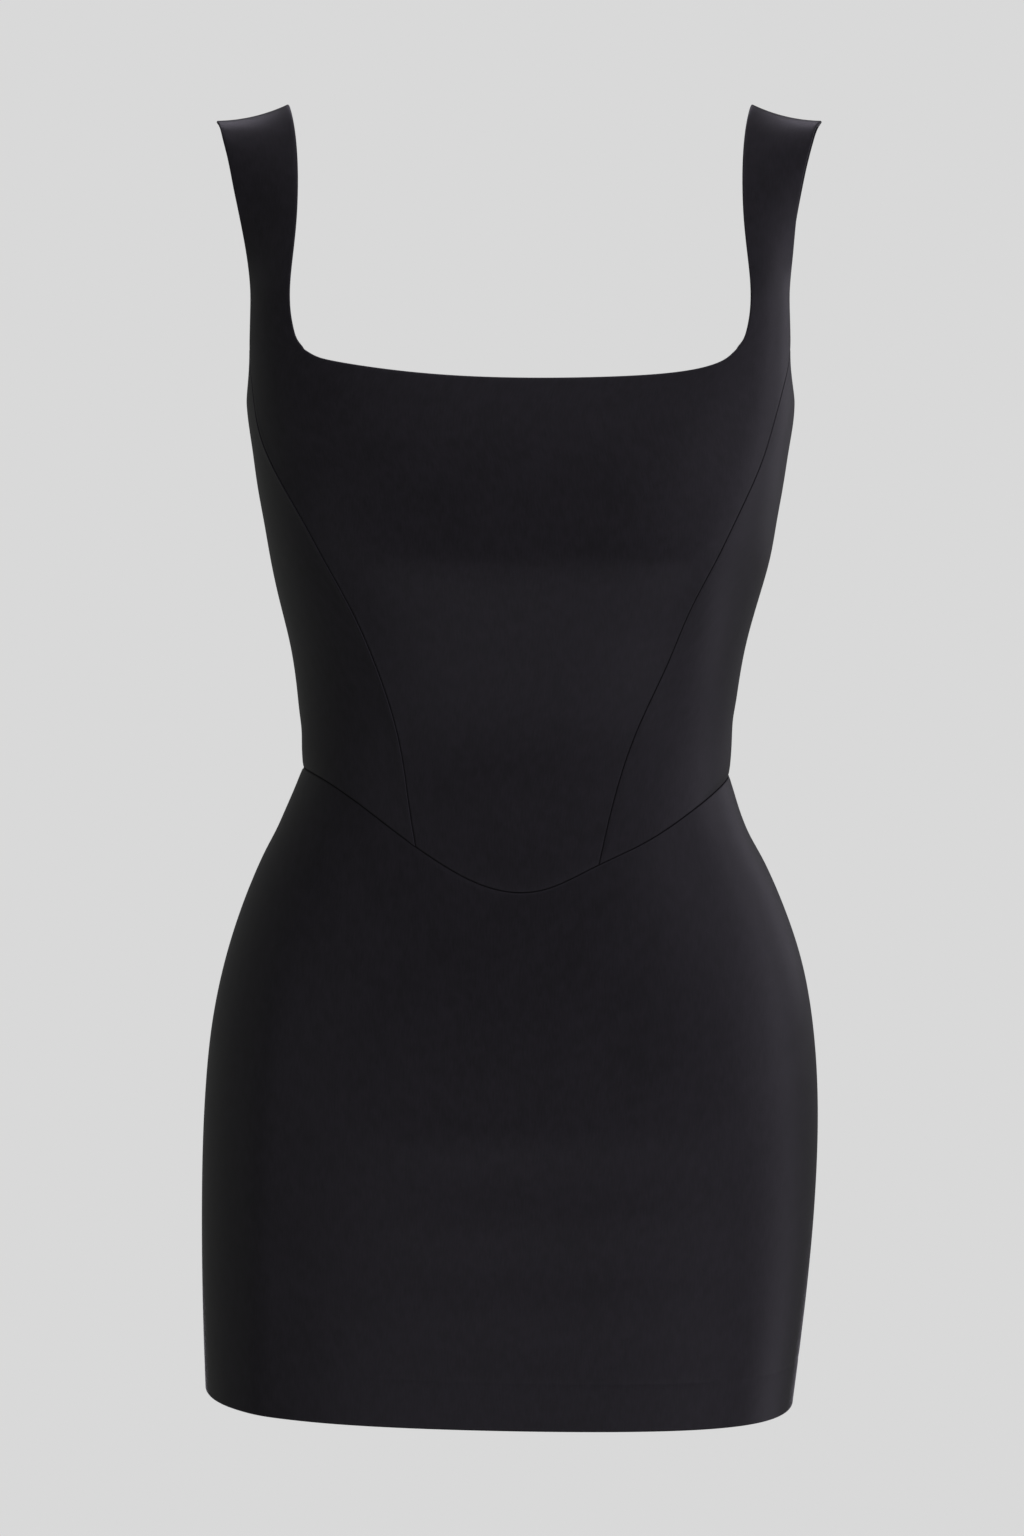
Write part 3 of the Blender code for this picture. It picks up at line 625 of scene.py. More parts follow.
class Strap:
    """One strap as a smooth band over the shoulder. Its rows run from the neck to the armhole."""

    def __init__(self, side):
        self.side = side
        front = self.foot(FRONT_NECK_SIDE, CORNER, back=False)
        back = self.foot(BACK_NECK_SIDE, BACK_CORNER, back=True)[::-1]
        rows = np.concatenate([front, self.free_length(), back])
        middle = rows[:, STRAP_COLUMNS // 2]
        travel = np.cumsum(np.linalg.norm(np.diff(middle, axis=0), axis=1))
        travel = np.concatenate([[0], travel])
        self.start = travel[len(FOOT_ROWS)]
        self.end = travel[-1 - len(FOOT_ROWS)]
        self.seam = travel[len(front) + CREST] + SHOULDER_SEAM
        self.band = Curve({"travel": travel, **dict(enumerate(rows.reshape(len(rows), -1).T))})

    def foot(self, neck_side, corner, back):
        """The rows that lie on the body, from below the neck's corner up."""
        edge = (back_edge if back else front_edge)(self.side)
        heights, across = neck_side.values()
        inner = angle_across(self.side * across, heights, back)
        heights = np.concatenate([corner - np.array(FOOT_ROWS), heights])
        inner = np.concatenate([np.full(len(FOOT_ROWS), inner[0]), inner])
        angles = blend(inner[:, None], edge(heights)[:, None], even_spread(STRAP_COLUMNS))
        return body(angles, heights[:, None])

    def free_edge(self, x, y, z):
        return np.stack([self.side * STRAP[x], STRAP[y], STRAP[z]], -1)[:, None]

    def free_length(self):
        """The rows above the body, each bowed by its crown."""
        inner = self.free_edge("inner_x", "inner_y", "inner_z")
        outer = self.free_edge(f"{SIDES[self.side]}_x", "outer_y", "outer_z")
        along = np.gradient((inner + outer) / 2, axis=0)
        facing = unit(np.cross(outer - inner, along)) * self.side
        crown = STRAP["crown"][:, None, None]
        share = even_spread(STRAP_COLUMNS)[:, None]
        return blend(inner, outer, share) + facing * crown * 4 * share * (1 - share)

    def half(self, back, flipped):
        """One half's points and facings, from above its foot to the shoulder seam.

        Its columns run from the neck to the armhole, or the other way where it is flipped.
        """
        foot = self.end if back else self.start
        count = round(abs(self.seam - foot) / STRAP_STEP)
        travel = blend(foot, self.seam, even_spread(count))
        points = self.band(travel).reshape(count + 1, -1, 3)
        across = np.gradient(points, axis=1)
        along = np.gradient(points, axis=0) * (-1 if back else 1)
        facings = unit(np.cross(across, along)) * self.side
        step = -1 if flipped else 1
        return points[:, ::step], facings[:, ::step]


def outlines(rings):
    """The edges of the cloth, each as vertex numbers in order."""
    after = np.roll(rings, -1, axis=1)
    sides = set(zip(rings.ravel().tolist(), after.ravel().tolist(), strict=True))
    following = {start: end for start, end in sides if (end, start) not in sides}
    loops = []
    while following:
        start = min(following)
        loop = [start]
        while (end := following.pop(loop[-1])) != start:
            loop.append(end)
        loops.append(np.array(loop))
    return loops


def strips(rows):
    """The faces between closed rows of vertex numbers."""
    faces = []
    for upper, lower in zip(rows, rows[1:]):
        faces.append(np.stack([np.roll(upper, -1), upper, lower, np.roll(lower, -1)], -1))
    return np.concatenate(faces)


def flat_places(points, used):
    """Where each point lies on the cut cloth, in metres: along its row and up its column."""
    along = np.linalg.norm(np.diff(points, axis=1, prepend=points[:, :1]), axis=-1)
    up = np.linalg.norm(np.diff(points, axis=0, prepend=points[:1]), axis=-1)
    joined = used & np.roll(used, 1, axis=1)
    for row in range(1, len(points)):
        along[row] = np.where(joined[row], along[row], along[row - 1])
    across = np.cumsum(along, axis=1)
    middle = points.shape[1] // 2
    return np.stack([across - across[:, middle : middle + 1], np.cumsum(up, axis=0)], -1) * MM


class Cloth:
    """A piece of cloth as a grid of points on its outer face."""

    def __init__(self, points, facings, sizes):
        self.points = points
        self.facings = facings
        self.cells = np.ones((points.shape[0] - 1, points.shape[1] - 1), bool)
        self.seam_rounding = sizes.seam_rounding / MM
        self.depth = np.full(points.shape[:2], sizes.cloth / MM)
        self.rounding = np.full(points.shape[:2], self.seam_rounding)
        # Which edges are sewn into a seam: their turned rims take painted shade.
        self.seam_shaded = np.ones(points.shape[:2])
        # Where an edge stands up and takes a painted highlight.
        self.edge_highlight = np.zeros(points.shape[:2])

    def free_edge(self, rows, columns):
        """The edge turns over in a full round here, and isn't sewn."""
        self.rounding[rows, columns] = self.depth[rows, columns] / 2
        self.seam_shaded[rows, columns] = 0

    def narrow_tip(self, tip):
        """The rounding runs out where the piece narrows to a point."""
        away = np.linalg.norm(self.points - self.points[tip], axis=-1)
        self.rounding *= np.clip(away / TIP_LENGTH, TIP_ROUNDING, 1)

    def add_straps(self, halves):
        """Carries the cloth up into its straps, given as (first column, points, facings) each."""
        below, width = self.points.shape[:2]
        extra = max(len(points) for _, points, _ in halves) - 1
        for name in ("points", "facings", "depth", "rounding", "seam_shaded", "edge_highlight"):
            grid = getattr(self, name)
            setattr(self, name, np.concatenate([grid, np.repeat(grid[-1:], extra, axis=0)]))
        self.cells = np.concatenate([self.cells, np.zeros((extra, width - 1), bool)])
        for column, points, facings in halves:
            rows = slice(below, below + len(points) - 1)
            columns = slice(column, column + STRAP_COLUMNS + 1)
            self.points[rows, columns] = points[1:]
            self.facings[rows, columns] = facings[1:]
            self.rounding[rows.stop - 1, columns] = self.seam_rounding
            self.seam_shaded[rows.stop - 1, columns] = 1
            self.cells[below - 1 : rows.stop - 1, column : column + STRAP_COLUMNS] = True

    def build(self, name, material):
        """The closed shell: its outer and inner face, and the rounded edges between them."""
        used = np.zeros(self.points.shape[:2], bool)
        for row, column in np.ndindex(2, 2):
            used[row : row + len(self.cells), column : column + self.cells.shape[1]] |= self.cells
        number = np.cumsum(used).reshape(used.shape) - 1
        row, column = np.nonzero(self.cells)
        ring = ((row, column), (row, column + 1), (row + 1, column + 1), (row + 1, column))
        rings = np.stack([number[corner] for corner in ring], -1)
        outer = self.points[used]
        facings = self.facings[used]
        depth = self.depth[used][:, None]
        rounding = self.rounding[used]
        places = flat_places(self.points, used)[used]
        corners = outer[rings]
        turned = np.cross(corners[:, 1] - corners[:, 0], corners[:, 3] - corners[:, 0])
        if (turned * facings[rings[:, 0]]).sum() < 0:
            rings = rings[:, ::-1]
        count = len(outer)
        inner = outer - facings * depth
        faces = [rings, rings[:, ::-1] + count]
        rims = []
        sources = []
        marks = {"groove_shade": [np.zeros(2 * count)], "edge_highlight": [np.zeros(2 * count)]}
        for loop in outlines(rings):
            here = outer[loop]
            facing = facings[loop]
            coming = unit(np.cross(here - np.roll(here, 1, axis=0), facing))
            going = unit(np.cross(np.roll(here, -1, axis=0) - here, facing))
            aside = unit(coming + going)
            aside /= np.clip((aside * coming).sum(-1, keepdims=True), MITRE, 1)
            reach = aside * rounding[loop][:, None]
            half = facing * depth[loop] / 2
            for face in (outer, inner):
                face[loop] -= reach - aside * SEAM_LAP
            turns = np.radians(90 * even_spread(EDGE_RINGS)[1:])
            numbers = [loop]
            lips = (outer[loop], -half, turns), (inner[loop], half, turns[-2::-1])
            for edge, towards, angles in lips:
                for turn in angles:
                    first = 2 * count + sum(map(len, sources))
                    numbers.append(first + np.arange(len(loop)))
                    rims.append(edge + reach * math.sin(turn) + towards * (1 - math.cos(turn)))
                    sources.append(loop)
            down = np.concatenate([GROOVE_SHADE_RINGS, np.ones(EDGE_RINGS - 1)])[:, None]
            crest = np.concatenate([HIGHLIGHT_RINGS, np.zeros(EDGE_RINGS - 1)])[:, None]
            # The rims of sewn edges take painted shade, darker deeper in the seam.
            marks["groove_shade"].append((down * self.seam_shaded[used][loop]).ravel())
            # Edges that stand up take a painted highlight on their outer rims.
            marks["edge_highlight"].append((crest * self.edge_highlight[used][loop]).ravel())
            faces.append(strips([*numbers, loop + count]))
        sources = np.concatenate([np.arange(count), np.arange(count), *sources])
        points = np.concatenate([outer, inner, *rims])
        built = mesh_object(name, points, np.concatenate(faces).tolist(), material)
        add_uv(built.data, places[sources])
        for mark, values in marks.items():
            add_attribute(built.data, mark, np.concatenate(values))
        return built


def in_scene(name, data):
    """A new object in the scene."""
    built = bpy.data.objects.new(name, data)
    bpy.context.scene.collection.objects.link(built)
    return built


def mesh_object(name, points, faces, material):
    """A smooth object from points in millimetres and its faces."""
    mesh = bpy.data.meshes.new(name)
    mesh.from_pydata((points * MM).tolist(), [], faces)
    mesh.shade_smooth()
    mesh.materials.append(material)
    return in_scene(name, mesh)


def add_uv(mesh, places):
    """Lays the mesh out flat, by its points."""
    corners = np.empty(len(mesh.loops), np.int32)
    mesh.loops.foreach_get("vertex_index", corners)
    flat = places[corners].astype(np.float32).ravel()
    mesh.uv_layers.new(name="cut").data.foreach_set("uv", flat)


def add_attribute(mesh, name, values):
    data = mesh.attributes.new(name, "FLOAT", "POINT").data
    data.foreach_set("value", values.astype(np.float32))


def lay(angles, heights):
    """The outer points and facings of cloth that follows the skin at these places."""
    facings = outward(angles, heights)
    return body(angles, heights) + facings * drape(angles, heights)[..., None], facings


def sewn_in(cloth, name, material):
    """Builds a piece of cloth in its solid's place."""
    built = cloth.build(f"{name}_cloth", material)
    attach(built, "dress")
    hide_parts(name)
    return built


# How some sizes vary round the body: the share in the middle, and how much more on the left
WAIST_LIFT_SHARE = (0.55, -0.45)
SKIRT_ROLL_SHARE = (0.6, 0.4)
SKIRT_ROUNDING_SHARE = (1.0, -0.2)
# The painted highlight on the skirt's top edge, more on the wearer's left
HIGHLIGHT_SHARE = (0.5, 0.5)
HEM_MARK_SHARE = (0.5, 0.5)

SKIRT_ROLL_REACH = 2.0
HEM_STEP = 1.2  # the height over which the hem thickens
SIDE_LIFT_REACH = 3.0
SIDE_LIFT_FADE = 60.0  # the lift grows over this height below the neck's corner


def uneven(share, angle):
    middle, more_left = share
    return middle + more_left * np.sin(np.radians(angle))


def bodice_cloth(sizes, angles, heights, points, facings):
    """A bodice piece. Its foot lies over the waist seam, a little proud of the skirt."""
    lift = sizes.waist_lift / MM * uneven(WAIST_LIFT_SHARE, angles)
    lift = lift * np.exp(-(heights - waist(angles)) / (sizes.waist_lift_reach / MM))
    cloth = Cloth(points + facings * lift[..., None], facings, sizes)
    cloth.rounding[0] = sizes.waist_rounding / MM
    cloth.free_edge(-1, slice(None))
    return cloth


def front_centre_panel(sizes, straps, feet, material):
    """The corset front, cut in one with the front halves of both straps."""
    neck = FRONT_NECK["across"][-1] * -np.cos(np.pi * even_spread(NECK_COLUMNS))
    neck_heights = FRONT_NECK_CURVE(neck)[..., 0]
    neck_angles = angle_across(neck, neck_heights, back=False)
    right = blend(front_edge(-1)(CORNER), neck_angles[0], even_spread(STRAP_COLUMNS))
    left = blend(neck_angles[-1], front_edge(1)(CORNER), even_spread(STRAP_COLUMNS))
    top_angles = np.concatenate([right, neck_angles[1:-1], left])
    level = np.full(STRAP_COLUMNS + 1, CORNER)
    top_heights = np.concatenate([level, neck_heights[1:-1], level])
    edges = front_edge(-1), front_edge(1)
    angles, heights = bodice_piece(*edges, feet, top_angles, top_heights)
    cloth = bodice_cloth(sizes, angles, heights, *lay(angles, heights))
    right_half = straps[-1].half(back=False, flipped=True)
    left_half = straps[1].half(back=False, flipped=False)
    cloth.add_straps([(0, *right_half), (STRAP_COLUMNS + NECK_COLUMNS, *left_half)])
    return sewn_in(cloth, "front_centre_panel", material)


def side_panel(name, sizes, edge, side, feet, corner, material):
    """A bodice side panel, from a princess seam to the side seam."""
    share = even_spread(len(feet) - 1)
    top_angles = blend(edge(corner), side * SIDE_SEAM, 1 - np.cos(share * math.pi / 2))
    top_heights = blend(corner, UNDERARM, np.sin(share * math.pi / 2))
    angles, heights = bodice_piece(edge, side_seam(side), feet, top_angles, top_heights)
    points, facings = lay(angles, heights)
    if side < 0:
        from_seam = np.abs(angles - angles[:, :1]) * SKIN_PER_DEGREE
        lift = sizes.side_lift / MM * ease((corner - heights) / SIDE_LIFT_FADE)
        lift = lift * np.exp(-from_seam / SIDE_LIFT_REACH)
        points = points + facings * lift[..., None]
    cloth = bodice_cloth(sizes, angles, heights, points, facings)
    cloth.narrow_tip((-1, 0))
    # On the wearer's right, the edge at the princess seam takes a painted highlight.
    if side < 0:
        cloth.edge_highlight[:, 0] = 1
    return sewn_in(cloth, name, material)


def draw_from_zip(points, heights):
    """Draws a back piece's edge back from the zip."""
    gap = placket_gap(heights[:, -1])[:, None]
    share = even_spread(PLACKET_COLUMNS)[1:, None]
    towards = unit(points[:, -2] - points[:, -1]) * gap
    points[:, -PLACKET_COLUMNS:] += towards[:, None] * share


def back_panel(name, sizes, side, strap, feet, material):
    """Half the back, cut in one with the back half of its strap."""
    corner = BACK_NECK["across"][-1]
    neck = side * corner * np.cos(math.acos(PLACKET / corner) * even_spread(BACK_COLUMNS))
    neck_heights = BACK_NECK_CURVE(neck)[..., 0]
    neck_angles = angle_across(neck, neck_heights, back=True)
    edges = back_edge(side), placket(side)
    strap_top = blend(edges[0](BACK_CORNER), neck_angles[0], even_spread(STRAP_COLUMNS))
    top_angles = np.concatenate([strap_top, neck_angles[1:]])
    top_heights = np.concatenate([np.full(STRAP_COLUMNS + 1, BACK_CORNER), neck_heights[1:]])
    angles, heights = bodice_piece(*edges, feet, top_angles, top_heights)
    centre = blend(waist(180.0), BACK_NECK_CURVE(0.0)[0], even_spread(BODICE_ROWS))
    angles, heights = with_placket(angles, heights, side, centre)
    cloth = bodice_cloth(sizes, angles, heights, *lay(angles, heights))
    draw_from_zip(cloth.points, heights)
    cloth.add_straps([(0, *strap.half(back=True, flipped=True))])
    return sewn_in(cloth, name, material)


def skirt_cloth(sizes, angles, heights):
    """A skirt piece. It rolls over into the waist seam, and is thicker where its hem is turned up.

    The hem's line marks it, most on the wearer's left.
    """
    above_line = heights - heights[-1:] - sizes.hem_depth / MM
    points, facings = lay(angles, heights)
    roll = sizes.skirt_roll / MM * uneven(SKIRT_ROLL_SHARE, angles)
    roll = roll * np.exp(-(((heights[:1] - heights) / SKIRT_ROLL_REACH) ** 2))
    mark = sizes.hem_mark / MM * uneven(HEM_MARK_SHARE, angles)
    mark = mark * np.exp(-((above_line / (sizes.hem_mark_width / MM)) ** 2))
    cloth = Cloth(points + facings * (roll - mark)[..., None], facings, sizes)
    cloth.depth += sizes.hem_turning / MM * ease(-above_line / HEM_STEP)
    cloth.rounding[0] = sizes.skirt_rounding / MM * uneven(SKIRT_ROUNDING_SHARE, angles[0])
    # The skirt's top edge takes a painted highlight just under the waist seam.
    cloth.edge_highlight[0] = uneven(HIGHLIGHT_SHARE, angles[0])
    cloth.free_edge(-1, slice(None))
    return cloth


def skirt_front(sizes, feet, material):
    hem_angles = blend(-SIDE_SEAM, SIDE_SEAM, even_spread(len(feet) - 1))
    edges = side_seam(-1), side_seam(1)
    grid = skirt_piece(*edges, feet, hem_angles, sizes.hem_depth / MM)
    return sewn_in(skirt_cloth(sizes, *grid), "skirt_front", material)


def skirt_back(name, sizes, side, feet, material):
    edges = side_seam(side), placket(side)
    hem_angles = blend(side * SIDE_SEAM, edges[1](HEM), even_spread(len(feet) - 1))
    angles, heights = skirt_piece(*edges, feet, hem_angles, sizes.hem_depth / MM)
    grid = with_placket(angles, heights, side, heights[:, -1])
    return sewn_in(skirt_cloth(sizes, *grid), name, material)


class Feet:
    """Where the columns of one side's pieces meet the waist seam, as angles."""

    def __init__(self, side):
        front, back, zipped = (foot_of(edge(side)) for edge in (front_edge, back_edge, placket))
        self.front_side = blend(front, side * SIDE_SEAM, even_spread(SIDE_COLUMNS))
        self.back_side = blend(back, side * SIDE_SEAM, even_spread(SIDE_COLUMNS))
        self.back = blend(back, zipped, even_spread(STRAP_COLUMNS + BACK_COLUMNS))


def front_centre_feet():
    spread = even_spread(2 * STRAP_COLUMNS + NECK_COLUMNS)
    return blend(foot_of(front_edge(-1)), foot_of(front_edge(1)), spread)


def zip_tape(side, sizes, material):
    """One of the zip's two tapes, inside the back's pieces along the centre."""
    count = round((ZIP_TOP - ZIP_END) / TAPE_STEP)
    heights = blend(ZIP_END, ZIP_TOP, even_spread(count))[:, None]
    spread = blend(TAPE_PARTING, TAPE_WIDTH, even_spread(TAPE_COLUMNS))
    angles = angle_across(centre_back(heights) + side * spread, heights, back=True)
    points, facings = lay(angles, heights)
    inside = sizes.cloth / MM + ZIP_CLEARANCE
    cloth = Cloth(points - facings * inside, facings, sizes)
    cloth.depth[:] = TAPE
    cloth.free_edge(slice(None), slice(None))
    built = cloth.build(f"zip_tape_{SIDES[side]}", material)
    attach(built, "dress")
    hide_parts("zip_tape")
    length = (heights[-1, 0] - heights[0, 0]) * MM * TAPE_EASE


def capped(rings):
    """The points and faces of a solid bar from the rings along it."""
    count, sides = rings.shape[:2]
    numbers = np.arange(count * sides).reshape(count, sides)
    faces = strips(numbers).tolist()
    return rings.reshape(-1, 3), [*faces, numbers[0].tolist(), numbers[-1, ::-1].tolist()]


def tube(path, radius, sides):
    """A round thread along a path."""
    along = unit(np.gradient(path, axis=0))
    first = unit(np.cross(along, [0.0, 0.0, 1.0]))
    second = np.cross(along, first)
    turns = 2 * np.pi * np.arange(sides) / sides
    x, y = np.cos(turns)[:, None], np.sin(turns)[:, None]
    return capped(path[:, None] + radius * (first[:, None] * x + second[:, None] * y))


def join(parts):
    """One list of points and one of faces from several."""
    points = []
    faces = []
    count = 0
    for more_points, more_faces in parts:
        points.append(more_points)
        faces += [[corner + count for corner in face] for face in more_faces]
        count += len(more_points)
    return np.concatenate(points), faces


def zip_coil(sizes, material):
    """The closed coils: a thread wound down each tape's edge, in the gaps of the other's."""
    turns = round((ZIP_TOP - ZIP_END) / COIL_PITCH) - COIL_SPARE_TURNS
    wound = np.linspace(0, turns, turns * COIL_TURN_POINTS)
    inside = sizes.cloth / MM + ZIP_CLEARANCE + TAPE + COIL_DEPTH / 2
    parts = []
    for side in SIDES:
        heights = ZIP_END + COIL_PITCH * (1 + wound + side / 4)
        angle = 2 * np.pi * wound
        middle = side * (COIL_REACH - COIL_OVERLAP) / 2
        across = middle + (COIL_REACH + COIL_OVERLAP) / 2 * np.cos(angle) * side
        seam, facings = lay(180.0, heights)
        deep = inside + (COIL_DEPTH / 2 - COIL_THREAD) * np.sin(angle)
        path = seam - facings * deep[:, None]
        path[:, 0] += across * (1 - COIL_THREAD / COIL_REACH)
        parts.append(tube(path, COIL_THREAD, COIL_SIDES))
    built = mesh_object("zip_coil", *join(parts), material)
    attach(built, "dress")


def stamping(outlines, thickness, bevel):
    """The points and faces of a flat piece with rounded edges.

    Its outlines lie in x and z, the first round the rest.
    """
    curve = bpy.data.curves.new("stamping", "CURVE")
    curve.dimensions = "2D"
    curve.fill_mode = "BOTH"
    curve.extrude = thickness / 2 - bevel
    curve.bevel_depth = bevel
    curve.bevel_resolution = BEVEL_STEPS
    curve.offset = -bevel
    curve.resolution_u = OUTLINE_STEPS
    for outline in outlines:
        spline = curve.splines.new("NURBS")
        spline.points.add(len(outline) - 1)
        spline.use_cyclic_u = True
        spline.order_u = 3
        for point, (x, z) in zip(spline.points, outline, strict=True):
            point.co = (x, z, 0, 1)
    helper = in_scene("stamping", curve)
    filled = helper.evaluated_get(bpy.context.evaluated_depsgraph_get())
    mesh = bpy.data.meshes.new_from_object(filled)
    points = np.array([(v.co.x, v.co.z, v.co.y) for v in mesh.vertices])
    faces = [list(polygon.vertices)[::-1] for polygon in mesh.polygons]
    bpy.data.objects.remove(helper)
    bpy.data.curves.remove(curve)
    bpy.data.meshes.remove(mesh)
    return points, faces


def mirrored(columns):
    """A closed outline from a table of heights and half widths."""
    z, half_width = columns.values()
    right = np.stack([half_width, z], -1)
    left = np.stack([-half_width, z], -1)[::-1]
    return np.concatenate([right, left])


def bar(path, half_width, half_thickness):
    """A flat bar with rounded edges along a path in y and z."""
    along = unit(np.gradient(path, axis=0))
    normal = np.stack([-along[:, 1], along[:, 0]], -1)
    turns = 2 * np.pi * (np.arange(BAR_SIDES) + 0.5) / BAR_SIDES

    def squarish(half, wave):
        return half * np.sign(wave) * np.abs(wave) ** BAR_ROUNDNESS

    rings = np.empty((len(path), BAR_SIDES, 3))
    rings[..., 0] = squarish(half_width, np.cos(turns))
    up = squarish(half_thickness, np.sin(turns))
    rings[..., 1:] = path[:, None] + normal[:, None] * up[:, None]
    return capped(rings)


def arch(low, high, half_height):
    """The bridge's path in y and z, from its low ends round two bends."""
    turns = np.radians(np.linspace(-90, 90, 2 * BEND_STEPS + 1))
    straight = half_height - BRIDGE_BEND
    path = [(low, -half_height)]
    for z, bend in ((-straight, turns[: BEND_STEPS + 1]), (straight, turns[BEND_STEPS:])):
        for turn in bend:
            out = high - BRIDGE_BEND + BRIDGE_BEND * math.cos(turn)
            path.append((out, z + BRIDGE_BEND * math.sin(turn)))
    path.append((low, half_height))
    return np.array(path)


class Seat:
    """The slider's place on the seam. Its y faces out of the cloth and its z runs up the seam."""

    def __init__(self):
        self.at = body(180.0, SLIDER)
        self.out = outward(180.0, SLIDER)
        self.up = np.array([0.0, -self.out[2], self.out[1]])

    def place(self, points):
        across = points[:, :1] * [1.0, 0.0, 0.0]
        return self.at + across + points[:, 1:2] * self.out + points[:, 2:] * self.up


def smooth_by_angle(built):
    built.data.set_sharp_from_angle(angle=math.radians(SHARP_ANGLE))


def zip_slider(sizes, material):
    """The slider: a plate inside, a neck through the seam, and a saddle and a bridge outside."""
    plate_middle = -sizes.cloth / MM - ZIP_CLEARANCE - PLATE / 2
    saddle_middle = ZIP_CLEARANCE + SADDLE / 2
    half_wall = BRIDGE_WALL / 2
    plate = stamping([mirrored(SLIDER_PLATE)], PLATE, PLATE_BEVEL)
    plate[0][:, 1] += plate_middle
    saddle = stamping([mirrored(SLIDER_SADDLE)], SADDLE, SADDLE_BEVEL)
    saddle[0][:, 1] += saddle_middle
    ends = np.array([(plate_middle, 0.0), (saddle_middle, 0.0)])
    neck_path = blend(ends[:1], ends[1:], even_spread(NECK_STEPS)[:, None])
    neck = bar(neck_path, BRIDGE_HALF_WIDTH, BRIDGE_HALF_HEIGHT)
    bridge_path = arch(saddle_middle, BRIDGE_REACH - half_wall, BRIDGE_HALF_HEIGHT - half_wall)
    bridge = bar(bridge_path, BRIDGE_HALF_WIDTH, half_wall)
    points, faces = join([plate, saddle, neck, bridge])
    built = mesh_object("zip_slider_body", Seat().place(points), faces, material)
    smooth_by_angle(built)
    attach(built, "dress")
    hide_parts("zip_slider")


def zip_pull(material):
    """The tab that hangs on the bridge. Its bar lies on the pivot, with the bridge in its eye."""
    below_bar, half_width = PULL_OUTLINE.values()
    outline = mirrored({"z": -below_bar, "half_width": half_width})
    points, faces = stamping([outline, mirrored(PULL_EYE)], PULL, PULL_BEVEL)
    points[:, 1] += BAR_REACH
    built = mesh_object("zip_pull_tab", Seat().place(points), faces, material)
    smooth_by_angle(built)
    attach(built, "zip_pull")
    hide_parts("zip_pull")


class Wire:
    """A value in a material. Python's operators on it add the Math nodes that work it out."""

    def __init__(self, paint, socket):
        self.paint = paint
        self.socket = socket

    def math(self, operation, *values):
        return self.paint.add("ShaderNodeMath", {"operation": operation}, dict(enumerate(values)))

    def __add__(self, other):
        return self.math("ADD", self, other)

    def __sub__(self, other):
        return self.math("SUBTRACT", self, other)

    def __rsub__(self, other):
        return self.math("SUBTRACT", other, self)

    def __mul__(self, other):
        return self.math("MULTIPLY", self, other)

    def __truediv__(self, other):
        return self.math("DIVIDE", self, other)

    __radd__ = __add__
    __rmul__ = __mul__

    def wave(self):
        """A wave that rises and falls once in each whole number."""
        return self.math("SINE", self * (2 * math.pi)) * 0.5 + 0.5

    def between(self, low, high):
        """0 below the low value and 1 above the high one, with a smooth rise between."""
        values = {"Value": self, "From Min": low, "From Max": high}
        settings = {"interpolation_type": "SMOOTHSTEP"}
        return self.paint.add("ShaderNodeMapRange", settings, values)


def opaque(colour, times=1.0):
    """A colour for a node, this many times lighter."""
    return (*(times * part for part in colour), 1.0)


class Paint:
    """A material, built node by node."""

    def __init__(self, owner):
        self.owner = owner
        owner.use_nodes = True
        self.tree = owner.node_tree
        self.tree.nodes.clear()

    def add(self, kind, settings, values, output=0):
        """Adds a node, makes its settings, sets or links its sockets and gives an output."""
        node = self.tree.nodes.new(kind)
        for name, value in settings.items():
            setattr(node, name, value)
        for name, value in values.items():
            if isinstance(value, Wire):
                self.tree.links.new(value.socket, node.inputs[name])
            else:
                node.inputs[name].default_value = value
        return Wire(self, node.outputs[output])

    def mix(self, share, first, second):
        """A colour between two."""
        values = {"Factor": share, "A": first, "B": second}
        return self.add("ShaderNodeMix", {"data_type": "RGBA"}, values, "Result")

    def lighter(self, share, colour, times):
        """A colour, or the same this many times lighter where the share is 1."""
        return self.mix(share, opaque(colour), opaque(colour, times))

    def mark(self, name):
        """What the mesh says at each point."""
        return self.add("ShaderNodeAttribute", {"attribute_name": name}, {}, "Fac")

    def place(self):
        """Where the surface lies on its piece, in metres."""
        return self.add("ShaderNodeTexCoord", {}, {}, "Object")

    def cut_place(self):
        """Where the surface lies on the cut cloth, in metres, as a vector and as two numbers."""
        place = self.add("ShaderNodeUVMap", {"uv_map": "cut"}, {})
        across = self.add("ShaderNodeSeparateXYZ", {}, {0: place}, 0)
        up = self.add("ShaderNodeSeparateXYZ", {}, {0: place}, 1)
        return place, across, up

    def drawn_out(self, place, up):
        """A place with its upward direction scaled."""
        values = {0: place, 1: (1.0, up, 1.0)}
        return self.add("ShaderNodeVectorMath", {"operation": "MULTIPLY"}, values)

    def noise(self, place, size, detail=2.0):
        """Soft spots of about this size, from 0 to 1."""
        values = {"Vector": place, "Scale": 1 / size, "Detail": detail, "Roughness": 0.5}
        return self.add("ShaderNodeTexNoise", {}, values)

    def bump(self, height, depth, strength):
        """The surface's facing, for a relief this deep in metres."""
        values = {"Height": height, "Distance": depth, "Strength": strength}
        return self.add("ShaderNodeBump", {}, values)

    def principled(self, values):
        return self.add("ShaderNodeBsdfPrincipled", {}, values)

    def plain(self, kind, colour):
        """A light of one colour."""
        return self.add(kind, {}, {"Color": opaque(colour), "Strength": 1.0})

    def finish(self, shader, kind="ShaderNodeOutputMaterial"):
        """Ends the material with its shader."""
        node = self.tree.nodes.new(kind)
        self.tree.links.new(shader.socket, node.inputs["Surface"])
        return self.owner

    def finish_between(self, share, first, second, kind="ShaderNodeOutputMaterial"):
        """Ends the material with a shader between two."""
        mixed = self.add("ShaderNodeMixShader", {}, {0: share, 1: first, 2: second})
        return self.finish(mixed, kind)


def finish_of(name, make, *settings):
    """A material by name, made the first time that it is asked for."""
    return bpy.data.materials.get(name) or make(Paint(bpy.data.materials.new(name)), *settings)


